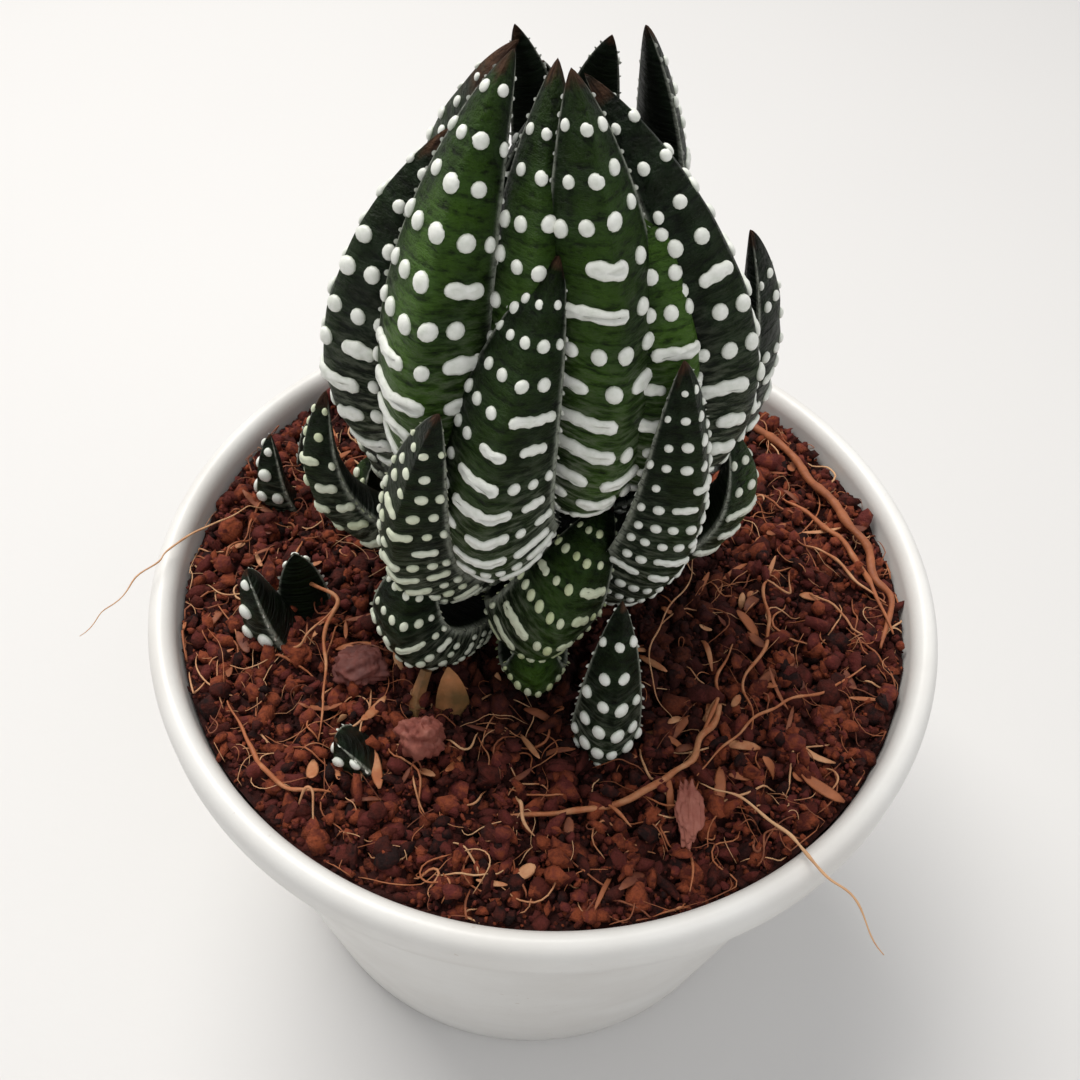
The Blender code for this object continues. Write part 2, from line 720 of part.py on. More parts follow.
def make_fibre(fibre):
    """A fibre along its route, thinner towards both ends and clear of the soil below it."""
    points = []
    for bearing, distance, height in fibre.route:
        x, y = from_wall(bearing, distance)
        points.append((x, y, height * MM))
    route = smooth_route(points, 5)
    lift = fibre.radius * MM + 2 * CLEARANCE
    route = [p + np.array((0.0, 0.0, soil_height(p[0], p[1]) + lift)) for p in route]
    last = len(route) - 1
    radii = [fibre.radius * MM * (0.45 + 0.55 * math.sin(math.pi * step / last)) for step in range(last + 1)]
    return tube(fibre.name, route, radii, FIBRE_SIDES, FIBRE_TAN)


def make_chip(chip):
    """A rough flake of coir: an egg shape with its skin pushed in and out by a wave."""
    skin = bmesh.new()
    bmesh.ops.create_icosphere(skin, subdivisions=2, radius=1.0)
    tilt = math.radians(chip.tilt)
    turn = math.radians(chip.turn)
    x, y = from_wall(chip.bearing, chip.from_wall)
    place = np.array((x, y, soil_height(x, y) + chip.height * MM))
    points = []
    for vertex in skin.verts:
        wave = math.sin(5 * vertex.co.x + 2) * math.cos(4 * vertex.co.y + 3 * vertex.co.z)
        rough = 1.0 + CHIP_ROUGHNESS * wave
        long, wide, high = (half * rough * MM * c for half, c in zip(chip.half_sizes, vertex.co))
        leaned = long * math.cos(tilt) + high * math.sin(tilt)
        lifted = high * math.cos(tilt) - long * math.sin(tilt)
        turned_x = leaned * math.cos(turn) - wide * math.sin(turn)
        turned_y = leaned * math.sin(turn) + wide * math.cos(turn)
        points.append(place + np.array((turned_x, turned_y, lifted)))
    faces = [tuple(vertex.index for vertex in face.verts) for face in skin.faces]
    skin.free()
    return add_solid(chip.name, points, faces, CHIP_PINK)


# ---- The whole object ---------------------------------------------------------------------------


def build():
    """Make every piece, each fitted round those before it, and the soil round all of them."""
    clear_scene()
    axis = np.array((PLANT_X, PLANT_Y, 0.0))
    foot = axis + np.array((0.0, 0.0, SOIL_TOP))
    pot = make_pot()
    soil = make_soil()
    rooms = [grown_copy(pot)]
    pieces = [lambda: make_stem(axis)]
    for index, bearing in enumerate(ROOT_BEARINGS):
        pieces.append(lambda index=index, bearing=bearing: make_root(index, bearing, axis))
    for leaf in ROSETTE:
        pieces.append(lambda leaf=leaf: make_leaf(leaf, foot, ROSETTE_SCALE))
    for offset in OFFSETS:
        for leaf in offset.leaves:
            spot = standing_at(offset.bearing, offset.from_wall)
            pieces.append(lambda leaf=leaf, spot=spot: make_leaf(leaf, spot, 1.0))
    pieces.append(lambda: make_leaf(DRIED_LEAF, standing_at(*DRIED_LEAF_PLACE), 1.0, DRY_BROWN))
    pieces.append(make_stalk)
    for chip in CHIPS:
        pieces.append(lambda chip=chip: make_chip(chip))
    for fibre in FIBRES:
        pieces.append(lambda fibre=fibre: make_fibre(fibre))
    for make in pieces:
        piece = make()
        room = grown_copy(piece)
        carve(piece, rooms)
        rooms.append(room)
    carve(soil, rooms[1:])
    for room in rooms:
        bpy.data.objects.remove(room)


build()
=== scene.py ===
"""A zebra haworthia in a white plastic pot: beaded leaves, small offsets, and coir soil with loose fibres.

Lengths are metres, +Z is up and the front is -Y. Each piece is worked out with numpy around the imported
CAD frame, and rides on the frame's one body.
"""

import logging
import math
from dataclasses import dataclass
from enum import Enum

import bpy
import numpy as np
from mathutils import Matrix, Vector


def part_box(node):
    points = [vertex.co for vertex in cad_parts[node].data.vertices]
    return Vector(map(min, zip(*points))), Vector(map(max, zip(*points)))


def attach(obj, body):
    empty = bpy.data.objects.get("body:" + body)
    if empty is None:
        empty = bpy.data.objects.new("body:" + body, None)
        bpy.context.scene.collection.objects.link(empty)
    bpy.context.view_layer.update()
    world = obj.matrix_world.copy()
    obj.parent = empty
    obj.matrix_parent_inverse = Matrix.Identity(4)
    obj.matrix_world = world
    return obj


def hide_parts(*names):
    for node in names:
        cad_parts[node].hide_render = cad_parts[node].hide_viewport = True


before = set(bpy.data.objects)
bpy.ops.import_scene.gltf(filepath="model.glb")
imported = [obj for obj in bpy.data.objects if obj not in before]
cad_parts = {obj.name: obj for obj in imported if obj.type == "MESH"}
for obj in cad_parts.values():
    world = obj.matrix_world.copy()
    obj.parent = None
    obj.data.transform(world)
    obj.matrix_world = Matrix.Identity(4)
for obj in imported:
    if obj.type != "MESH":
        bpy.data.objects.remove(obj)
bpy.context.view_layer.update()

Array = np.ndarray
Colour = tuple[float, float, float]
Material = bpy.types.Material
Socket = bpy.types.NodeSocket
MM = 0.001
BODY = "root"
SOIL_DROP = 3.2 * MM  # from the rim to the soil's mean top
log = logging.getLogger("haworthia")


# ---- Small numeric tools -------------------------------------------------------------------------


def ramp(values: Array, low: float, high: float) -> Array:
    """Smooth step from 0 at low to 1 at high.

    Args:
        values: Any numbers.
        low: Where the step begins.
        high: Where it ends; it may be below low.

    Returns:
        3s^2 - 2s^3, with s the clipped share of the way from low to high.
    """
    share = np.clip((values - low) / (high - low), 0.0, 1.0)
    return share * share * (3.0 - 2.0 * share)


def unit(vectors: Array) -> Array:
    """Vectors scaled to length 1 along the last axis."""
    return vectors / np.maximum(np.linalg.norm(vectors, axis=-1, keepdims=True), 1e-12)


def places(x: Array | float, y: Array | float, z: Array | float = 0.0) -> Array:
    """Places from their coordinates, which are spread to one shape and set along a last axis."""
    return np.stack(np.broadcast_arrays(x, y, z), axis=-1)


def around(out: Array | float, bearing: Array | float) -> tuple[Array, Array]:
    """Where a distance and a bearing in radians lead, 0 being to the front and positive to the right."""
    return out * np.sin(bearing), -out * np.cos(bearing)


def circle(count: int) -> Array:
    """Angles evenly spread once round."""
    return np.arange(count) * 2 * np.pi / count


def turned(radius: Array, height: Array | float, segments: int) -> Array:
    """Rings about the axis, each point at (radius cos a, radius sin a, height), with a going once round."""
    turn = circle(segments)
    return places(radius[:, None] * np.cos(turn), radius[:, None] * np.sin(turn), np.reshape(height, (-1, 1)))


def ball(rows: int, sides: int, twist: float = 0.0) -> Array:
    """A ball of radius 1: rings of points at even angles from its top, then its top and its bottom point.

    Args:
        rows: How many rings it has.
        sides: How many points are in a ring.
        twist: How far each ring is turned from the one above, in radians.
    """
    polar = (np.arange(1, rows + 1) / (rows + 1) * np.pi)[:, None]
    turn = circle(sides)[None] + (np.arange(rows) * twist)[:, None]
    rings = places(np.sin(polar) * np.cos(turn), np.sin(polar) * np.sin(turn), np.cos(polar))
    return np.concatenate([rings.reshape(-1, 3), [[0, 0, 1], [0, 0, -1]]])


def ripples(points: Array, size: float, seed: int, waves: int = 7) -> Array:
    """Smooth noise in space: the sum of sine waves in random directions, over the root of their number.

    Args:
        points: Places, with x, y, z along the last axis.
        size: Typical distance between two bumps.
        seed: Which pattern.
        waves: How many sines are added.

    Returns:
        One value for each place, mostly between -1 and 1.
    """
    rng = np.random.default_rng(seed)
    directions = unit(rng.normal(size=(waves, 3))) * rng.uniform(0.7, 1.5, (waves, 1)) * 2 * np.pi / size
    phases = rng.uniform(0, 2 * np.pi, waves)
    return np.sin(points @ directions.T + phases).sum(axis=-1) / math.sqrt(waves)


def smooth_route(points: Array, steps: int) -> Array:
    """Points along a Catmull-Rom curve, which passes through every given point.

    Args:
        points: The route's own points.
        steps: How many points to read from the curve.

    Returns:
        An array of places, evenly spread over the curve's parameter.
    """
    knots = np.concatenate([[2 * points[0] - points[1]], points, [2 * points[-1] - points[-2]]])
    place = np.linspace(0, len(knots) - 3 - 1e-9, steps)
    index = place.astype(int)
    t = (place - index)[:, None]
    before, start, end, after = (knots[index + shift] for shift in range(4))
    bend = 2 * before - 5 * start + 4 * end - after
    twist = 3 * start - before - 3 * end + after
    return 0.5 * (2 * start + (end - before) * t + bend * t**2 + twist * t**3)


# ---- Meshes --------------------------------------------------------------------------------------


def closed_faces(rows: int, columns: int, reverse: bool = False) -> list[Array]:
    """Faces of a closed body: quads between rings of points, and a fan of triangles over each end.

    The points are the rings in order, then a point to close the first ring and one to close the last.

    Args:
        rows: How many rings there are.
        columns: How many points are in a ring.
        reverse: Whether the rings run the other way round, so that each face has to as well.

    Returns:
        The quads and the triangles, as rows of point numbers.
    """
    ring = np.arange(columns)
    after = (ring + 1) % columns
    low = np.arange(rows - 1)[:, None] * columns
    last = (rows - 1) * columns
    quads = np.stack([low + ring, low + after, low + columns + after, low + columns + ring], axis=-1)
    first_end = np.stack([np.full(columns, rows * columns), after, ring], axis=-1)
    last_end = np.stack([np.full(columns, rows * columns + 1), last + ring, last + after], axis=-1)
    faces = [quads.reshape(-1, 4), np.concatenate([first_end, last_end])]
    return [block[:, ::-1] for block in faces] if reverse else faces


def repeat_faces(points: Array, faces: list[Array]) -> tuple[Array, list[Array]]:
    """Join copies of one shape's faces over many sets of its points.

    Args:
        points: Places, as copies by points by 3.
        faces: The faces of one copy.

    Returns:
        All points in one list, and the faces with each copy's numbers shifted.
    """
    count, size = points.shape[:2]
    shift = (np.arange(count) * size)[:, None, None]
    return points.reshape(-1, 3), [(block + shift).reshape(-1, block.shape[1]) for block in faces]


def rods(routes: Array, radii: Array, sides: int) -> tuple[Array, list[Array]]:
    """Closed round rods along many routes at once.

    Each ring lies square to its route, turned from a fixed side vector; both ends close in a point.

    Args:
        routes: Places, as rods by steps by 3.
        radii: Radius at each step, as rods by steps.
        sides: How many points go round a rod.

    Returns:
        The points and the faces.
    """
    count, steps = radii.shape
    ahead = unit(np.gradient(routes, axis=1))
    guide = np.where(np.abs(ahead[..., 2:]) > 0.9, [1.0, 0.0, 0.0], [0.0, 0.0, 1.0])
    across = unit(np.cross(ahead, guide))
    over = np.cross(across, ahead)
    turn = circle(sides)[:, None]
    rings = across[:, :, None] * np.cos(turn) + over[:, :, None] * np.sin(turn)
    rings = routes[:, :, None] + rings * radii[:, :, None, None]
    each = np.concatenate([rings.reshape(count, -1, 3), routes[:, :1], routes[:, -1:]], axis=1)
    return repeat_faces(each, closed_faces(steps, sides, reverse=True))


def tint_of(points: Array, *values: Array | float) -> Array:
    """Four values for each point, as the attribute "tint" holds them.

    Args:
        points: The points, with x, y, z along the last axis.
        values: Up to four numbers or arrays that spread to the points' shape; the missing ones are 0.
    """
    tint = np.zeros((*points.shape[:-1], 4))
    for channel, value in enumerate(values):
        tint[..., channel] = value
    return tint.reshape(-1, 4)


def add_object(name: str, data: bpy.types.ID) -> bpy.types.Object:
    """Put a mesh, a light or a camera into the scene as an object."""
    made = bpy.data.objects.new(name, data)
    bpy.context.collection.objects.link(made)
    return made


def add_piece(name: str, points: Array, faces: list[Array], finish: Material, slot: str,
              nodes: tuple[str, ...] = (), tint: Array | None = None) -> bpy.types.Object:
    """Put points and faces into a smooth mesh object that rides on the frame.

    Args:
        name: The piece's name.
        points: Its points.
        faces: Arrays of point numbers, one row to a face, each array with its own number of corners.
        finish: Its material.
        slot: The record's material slot; it is not used.
        nodes: The CAD nodes that it stands for.
        tint: Four values for each point, which the material reads as the attribute "tint".

    Returns:
        The new object.
    """
    mesh = bpy.data.meshes.new(name)
    mesh.vertices.add(len(points))
    mesh.vertices.foreach_set("co", np.ascontiguousarray(points, dtype=np.float32).ravel())
    corners = np.concatenate([np.full(len(block), block.shape[1]) for block in faces])
    loops = np.concatenate([block.ravel() for block in faces]).astype(np.int32)
    starts = np.concatenate([[0], np.cumsum(corners)[:-1]]).astype(np.int32)
    mesh.loops.add(len(loops))
    mesh.loops.foreach_set("vertex_index", loops)
    mesh.polygons.add(len(corners))
    mesh.polygons.foreach_set("loop_start", starts)
    mesh.update(calc_edges=True)
    mesh.shade_smooth()
    if tint is not None:
        layer = mesh.color_attributes.new("tint", "FLOAT_COLOR", "POINT")
        layer.data.foreach_set("color", np.ascontiguousarray(tint, dtype=np.float32).ravel())
    mesh.materials.append(finish)
    piece = add_object(name, mesh)
    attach(piece, BODY)
    if nodes:
        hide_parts(*nodes)
    log.info("%s: %d points, %d faces", name, len(points), len(corners))
    return piece


# ---- Finishes ------------------------------------------------------------------------------------


class Finish:
    """A material under construction: a Principled shader and the nodes that feed it."""

    def __init__(self, name: str) -> None:
        """Start a material with its shader and its object coordinates."""
        self.material = bpy.data.materials.new(name)
        self.material.use_nodes = True
        self.tree = self.material.node_tree
        self.shader = self.tree.nodes["Principled BSDF"]
        self.places = self.tree.nodes.new("ShaderNodeTexCoord")

    def feed(self, socket: Socket, value: Socket | Colour | float) -> None:
        """Join a node's output to a socket, or set the socket to a number, a colour or three factors."""
        if isinstance(value, Socket):
            self.tree.links.new(value, socket)
        else:
            socket.default_value = (*value, 1.0) if socket.type == "RGBA" else value

    def node(self, kind: str, inputs: dict[str | int, Socket | Colour | float] | None = None,
             **settings: str) -> bpy.types.Node:
        """Add a node.

        Args:
            kind: Its type without the word ShaderNode.
            inputs: Socket name or number to a value, or to another node's output.
            settings: Its own properties.

        Returns:
            The node.
        """
        made = self.tree.nodes.new("ShaderNode" + kind)
        for name, value in settings.items():
            setattr(made, name, value)
        for socket, value in (inputs or {}).items():
            self.feed(made.inputs[socket], value)
        return made

    def noise(self, scale: float, detail: float = 3.0, rough: float = 0.55,
              source: Socket | None = None) -> Socket:
        """Noise over object coordinates, or over another source, at a scale in bumps a metre."""
        source = source or self.places.outputs["Object"]
        inputs = {"Vector": source, "Scale": scale, "Detail": detail, "Roughness": rough}
        return self.node("TexNoise", inputs).outputs["Fac"]

    def span(self, value: Socket, low: float, high: float, to_low: float = 0.0,
             to_high: float = 1.0) -> Socket:
        """A value carried from one range to another, clipped."""
        inputs = {"Value": value, "From Min": low, "From Max": high, "To Min": to_low, "To Max": to_high}
        return self.node("MapRange", inputs).outputs["Result"]

    def patches(self, scale: float, detail: float, low: float = 0.3, high: float = 0.7, to_low: float = 0.0,
                to_high: float = 1.0, source: Socket | None = None) -> Socket:
        """Noise carried from one range to another, clipped."""
        return self.span(self.noise(scale, detail, source=source), low, high, to_low, to_high)

    def stretched(self, factors: tuple[float, float, float], source: Socket) -> Socket:
        """Coordinates multiplied by a factor on each axis."""
        return self.node("Mapping", {"Vector": source, "Scale": factors}).outputs["Vector"]

    def ramp(self, value: Socket, stops: list[tuple[float, Colour]]) -> Socket:
        """Colour from a value, through stops of place and colour."""
        made = self.node("ValToRGB", {"Fac": value})
        marks = made.color_ramp.elements
        while len(marks) < len(stops):
            marks.new(1.0)
        for mark, (place, colour) in zip(marks, stops):
            mark.position = place
            mark.color = (*colour, 1.0)
        return made.outputs["Color"]

    def sum(self, first: Socket, second: Socket | float) -> Socket:
        """Two values added."""
        return self.node("Math", {0: first, 1: second}, operation="ADD").outputs["Value"]

    def product(self, first: Socket, second: Socket | float) -> Socket:
        """Two values multiplied."""
        return self.node("Math", {0: first, 1: second}, operation="MULTIPLY").outputs["Value"]

    def mix(self, share: Socket | float, first: Socket | Colour, second: Socket | Colour) -> Socket:
        """Two colours mixed by the second's share."""
        return self.node("Mix", {0: share, 6: first, 7: second}, data_type="RGBA").outputs[2]

    def tint(self) -> tuple[Socket, Socket, Socket, Socket]:
        """The four values of the attribute "tint"."""
        read = self.node("Attribute", attribute_name="tint", attribute_type="GEOMETRY")
        parts = self.node("SeparateColor", {"Color": read.outputs["Color"]})
        return (*parts.outputs[:3], read.outputs["Alpha"])

    def bump(self, height: Socket, distance: float, strength: float = 1.0,
             under: Socket | None = None) -> Socket:
        """A normal from a height, over another normal if there is one."""
        inputs = {"Height": height, "Distance": distance, "Strength": strength}
        if under is not None:
            inputs["Normal"] = under
        return self.node("Bump", inputs).outputs["Normal"]

    def done(self, colour: Socket, roughness: Socket | float, normal: Socket,
             specular: float = 0.5) -> Material:
        """Join the results to the shader.

        Args:
            colour: Base colour.
            roughness: Roughness.
            normal: Normal.
            specular: How strongly it mirrors face on, 0.5 being the usual strength.

        Returns:
            The finished material.
        """
        results = {"Base Color": colour, "Roughness": roughness, "Normal": normal,
                   "Specular IOR Level": specular}
        for name, value in results.items():
            self.feed(self.shader.inputs[name], value)
        return self.material


@dataclass(frozen=True)
class PotFinish:
    """Satin off-white plastic, with a faint moulded texture and a little dust."""

    white: Colour = (0.80, 0.79, 0.755)
    shade: Colour = (0.72, 0.70, 0.66)
    dust: Colour = (0.42, 0.30, 0.22)
    grain_depth: float = 0.04 * MM

    def make(self) -> Material:
        """Build the material."""
        made = Finish("pot_plastic")
        colour = made.mix(made.patches(60, 4, 0.35), self.white, self.shade)
        specks = made.patches(900, 2, 0.70, 0.76)
        smears = made.patches(45, 3, 0.5, 0.65, to_high=0.6)
        colour = made.mix(made.product(specks, smears), colour, self.dust)
        normal = made.bump(made.noise(1400, 2), self.grain_depth, 0.5)
        return made.done(colour, made.patches(130, 3, to_low=0.3, to_high=0.42), normal)


@dataclass(frozen=True)
class LeafFinish:
    """Waxy leaf skin: near-black to grass green, wrinkled across, with pale margins and dry brown points.

    The attribute "tint" holds dryness, margin, nearness to a bead, and greenness, with light and shade
    painted
    into the greenness: brighter through the middle, darker at the margins and on the inner face, and higher
    on leaves painted as lit. A second attribute holds how much grey wax and painted sheen, a painted
    reflection of the bright floor, there is; the wrinkles carry painted shade in their troughs and that sheen
    on their ridges.
    The patterns follow the skin's own map, in centimetres.
    """

    dark: Colour = (0.0008, 0.0018, 0.0007)
    green: Colour = (0.056, 0.128, 0.011)
    halo: Colour = (0.045, 0.085, 0.04)
    halo_share: float = 0.22
    margin: Colour = (0.48, 0.51, 0.42)
    # Grey of the wax and of the painted sheen, a painted reflection of the bright floor.
    wax_and_sheen: Colour = (0.25, 0.27, 0.20)
    dry: Colour = (0.030, 0.013, 0.008)
    dry_pale: Colour = (0.13, 0.065, 0.035)
    wrinkle_depth: float = 1.2 * MM
    grain_depth: float = 0.06 * MM

    def make(self) -> Material:
        """Build the material."""
        made = Finish("leaf_skin")
        dryness, margin, halo, lit_greenness = made.tint()
        uv = made.places.outputs["UV"]
        share = made.product(lit_greenness, made.patches(1.1, 4, to_low=0.35, to_high=1.25, source=uv))
        colour = made.mix(share, self.dark, self.green)
        colour = made.mix(made.product(halo, self.halo_share), colour, self.halo)
        flecks = made.patches(9.0, 2, to_low=0.5, to_high=1.1, source=uv)
        colour = made.mix(made.product(margin, flecks), colour, self.margin)
        dried = made.mix(made.patches(3.0, 4, 0.35, 0.65, source=uv), self.dry, self.dry_pale)
        wrinkles = made.noise(1.0, 5, 0.6, made.stretched((2.6, 15.0, 1.0), uv))
        wax_sheen_share = made.node("Attribute", attribute_name="wax_and_sheen").outputs["Fac"]
        # Painted shade: the wrinkles' troughs are darkened towards the near-black colour.
        colour = made.mix(made.span(wrinkles, 0.5, 0.34, 0.0, 0.8), colour, self.dark)
        # Painted sheen: the grey is laid on the wrinkles' ridges, as much as the second attribute allows.
        colour = made.mix(made.product(wax_sheen_share, made.span(wrinkles, 0.47, 0.62)), colour, self.wax_and_sheen)
        colour = made.mix(dryness, colour, dried)
        normal = made.bump(wrinkles, self.wrinkle_depth)
        normal = made.bump(made.noise(34.0, 2, 0.5, uv), self.grain_depth, 0.5, normal)
        roughness = made.sum(made.span(wrinkles, 0.3, 0.7, 0.5, 0.34), made.product(dryness, 0.3))
        return made.done(colour, roughness, normal, specular=0.12)


@dataclass(frozen=True)
class BeadFinish:
    """Glossy white raised beads, a little green where they meet the leaf.

    The attribute "tint" holds height up the bead, and how yellow-green its leaf's beads are.
    """

    white: Colour = (0.88, 0.89, 0.82)
    foot: Colour = (0.34, 0.42, 0.27)
    yellow: Colour = (0.52, 0.60, 0.22)
    grain_depth: float = 0.06 * MM

    def make(self) -> Material:
        """Build the material."""
        made = Finish("leaf_bead")
        height, yellowness, _, _ = made.tint()
        colour = made.mix(yellowness, self.white, self.yellow)
        colour = made.mix(made.span(height, 0.0, 0.45, 0.75, 0.0), colour, self.foot)
        colour = made.mix(made.patches(1100, 3, 0.4, 0.75, to_high=0.3), colour, self.foot)
        normal = made.bump(made.noise(2600, 3), self.grain_depth, 0.6)
        return made.done(colour, made.patches(1500, 2, to_low=0.26, to_high=0.42), normal)


@dataclass(frozen=True)
class EarthFinish:
    """Damp coir peat. The attribute "tint" holds a random value, lift above the bed, and dampness with a
    painted shadow. Crumbs low under the bed's top, and the bed itself, are painted darker as shade between
    the crumbs.
    """

    # The darkest crumbs, and the colour of the painted shade between crumbs and of the plant's painted
    # shadow.
    deep: Colour = (0.012, 0.0025, 0.002)
    brown: Colour = (0.085, 0.014, 0.008)
    rust: Colour = (0.27, 0.060, 0.022)
    plum: Colour = (0.125, 0.022, 0.018)
    crumb_depth: float = 0.6 * MM

    def make(self) -> Material:
        """Build the material."""
        made = Finish("coir_earth")
        chance, lift, damp_shade, _ = made.tint()
        stops = [(0.0, self.deep), (0.3, self.brown), (0.55, self.plum), (0.8, self.rust), (1.0, self.brown)]
        colour = made.ramp(made.sum(chance, made.patches(900, 4, to_low=-0.18, to_high=0.18)), stops)
        # Painted shade: the lower a crumb lies, the nearer it is painted to the deep colour.
        colour = made.mix(made.span(lift, 0.0, 1.0, 0.85, 0.0), colour, self.deep)
        # Dampness and painted shadow: darker round the plant and to its right front, where the plant's shadow
        # falls.
        colour = made.mix(damp_shade, colour, self.deep)
        normal = made.bump(made.noise(1900, 5, 0.65), self.crumb_depth, 0.9)
        return made.done(colour, made.patches(700, 2, to_low=0.72, to_high=0.95), normal, specular=0.25)


@dataclass(frozen=True)
class FibreFinish:
    """Dry coir fibre and flake. The attribute "tint" holds a random value."""

    name: str = "coir_fibre"
    dark: Colour = (0.12, 0.028, 0.012)
    middle: Colour = (0.38, 0.12, 0.042)
    pale: Colour = (0.64, 0.37, 0.19)
    strand_depth: float = 0.12 * MM

    def make(self) -> Material:
        """Build the material."""
        made = Finish(self.name)
        chance, _, _, _ = made.tint()
        value = made.sum(chance, made.patches(500, 3, to_low=-0.15, to_high=0.15))
        colour = made.ramp(value, [(0.0, self.dark), (0.55, self.middle), (1.0, self.pale)])
        strands = made.stretched((3500, 3500, 1200), made.places.outputs["Object"])
        normal = made.bump(made.noise(1.0, 4, 0.6, strands), self.strand_depth, 0.7)
        return made.done(colour, made.patches(800, 2, to_low=0.55, to_high=0.8), normal)


@dataclass(frozen=True)
class StemFinish:
    """Fleshy or dried plant tissue in two colours that run into each other."""

    name: str
    light: Colour
    dark: Colour
    grain_depth: float = 0.2 * MM

    def make(self) -> Material:
        """Build the material."""
        made = Finish(self.name)
        colour = made.mix(made.patches(260, 4, 0.35, 0.65), self.light, self.dark)
        normal = made.bump(made.noise(1200, 4), self.grain_depth, 0.7)
        return made.done(colour, made.patches(300, 2, to_low=0.5, to_high=0.75), normal)


# ---- Pot -----------------------------------------------------------------------------------------


@dataclass
class Pot:
    """The round pot: tapered wall, rolled lip, and a grooved floor with drain holes and outlets."""

    height: float = 75.0 * MM
    rim_radius: float = 52.0 * MM
    foot_radius: float = 40.6 * MM
    wall: float = 1.5 * MM
    floor: float = 2.2 * MM
    lip_width: float = 3.5 * MM
    lip_drop: float = 6.0 * MM
    lip_round: float = 2.5 * MM
    groove_depth: float = 1.5 * MM
    groove_radius: float = 27.0 * MM
    groove_width: float = 10.0 * MM
    edge_round: float = 0.4 * MM
    drain_radius: float = 3.2 * MM
    drains: int = 6
    outlet_radius: float = 3.0 * MM
    outlets: int = 3
    segments: int = 240
    half_segment: float = math.pi / 48
    sharp_angle: float = math.radians(50)

    def inner(self, height: Array | float) -> Array | float:
        """Radius of the inside, a straight taper from the foot to the mouth."""
        foot = self.foot_radius - self.wall
        mouth = self.rim_radius - self.lip_width
        return foot + (mouth - foot) * height / (self.height - self.lip_round)

    def profile(self) -> Array:
        """The turned outline, from the axis below, out, up and over the lip, and back in to the axis."""
        low = self.height - self.lip_drop
        top = self.groove_depth + self.floor
        groove_in = self.groove_radius - self.groove_width / 2
        groove_out = self.groove_radius + self.groove_width / 2
        base = [[0, 0], [groove_in - self.edge_round, 0], [groove_in, self.edge_round],
                [groove_in, self.groove_depth], [groove_out, self.groove_depth],
                [groove_out, self.edge_round], [groove_out + self.edge_round, 0],
                [self.foot_radius - 0.9 * MM, 0], [self.foot_radius - 0.25 * MM, 0.2 * MM]]
        wall_z = np.linspace(0.9 * MM, low - 0.5 * MM, 22)
        wall = np.stack([self.inner(wall_z) + self.wall, wall_z], axis=1)
        under = [[self.inner(low) + self.wall + 0.12 * MM, low - 0.1 * MM],
                 [self.inner(low) + self.wall + 0.5 * MM, low],
                 [self.rim_radius - 0.7 * MM, low],
                 [self.rim_radius - 0.2 * MM, low + 0.2 * MM],
                 [self.rim_radius, low + 0.8 * MM],
                 [self.rim_radius, low + 2.2 * MM]]
        turn = np.linspace(0, np.pi, 26)
        middle = self.rim_radius - self.lip_width / 2
        arc = np.stack([middle + self.lip_width / 2 * np.cos(turn),
                        self.height - self.lip_round + self.lip_round * np.sin(turn)], axis=1)
        inside_z = np.linspace(self.height - self.lip_round - 0.8 * MM, top + 1 * MM, 14)
        inside = np.stack([self.inner(inside_z), inside_z], axis=1)
        floor = [[self.inner(top) - 1 * MM, top], [0, top]]
        return np.concatenate([base, wall, under, arc, inside, floor])

    def cutters(self) -> list[bpy.types.Object]:
        """Solids to cut with: an upright rod for each drain hole, and a level rod for each outlet."""
        made = []
        for index in range(self.drains + self.outlets):
            if index < self.drains:
                bearing = 2 * math.pi * index / self.drains + self.half_segment
                centre = np.array([*around(self.groove_radius, bearing), 0])
                route = centre + places(0, 0, np.array([-1, 1.2, 3, 5]) * MM)
                radius, sides = self.drain_radius, 40
            else:
                bearing = 2 * math.pi * (index - self.drains + 0.5) / self.outlets
                reach = np.linspace(self.groove_radius, self.rim_radius, 4)
                route = places(*around(reach, bearing), -2 * MM)
                radius, sides = self.outlet_radius, 24
            points, faces = rods(route[None], np.full((1, len(route)), radius), sides)
            mesh = bpy.data.meshes.new(f"pot_cutter_{index}")
            mesh.from_pydata(points.tolist(), [], [face for block in faces for face in block.tolist()])
            made.append(add_object(mesh.name, mesh))
        return made

    def build(self) -> None:
        """Turn the profile about Z and cut the floor's holes."""
        outline = self.profile()
        radius, height = outline[1:-1].T
        points = np.concatenate([turned(radius, height, self.segments).reshape(-1, 3),
                                 places(0, 0, outline[[0, -1], 1])])
        faces = closed_faces(len(radius), self.segments)
        pot = add_piece("pot_body", points, faces, PotFinish().make(), "pot", ("pot",))
        cutters = self.cutters()
        for cutter in cutters:
            cut = pot.modifiers.new(cutter.name, "BOOLEAN")
            cut.operation = "DIFFERENCE"
            cut.object = cutter
        graph = bpy.context.evaluated_depsgraph_get()
        mesh = bpy.data.meshes.new_from_object(pot.evaluated_get(graph))
        pot.modifiers.clear()
        pot.data = mesh
        mesh.set_sharp_from_angle(angle=self.sharp_angle)
        for cutter in cutters:
            bpy.data.objects.remove(cutter)


# ---- Leaves --------------------------------------------------------------------------------------


class Face(Enum):
    """The two faces of a leaf."""

    OUTER = "outer"
    INNER = "inner"


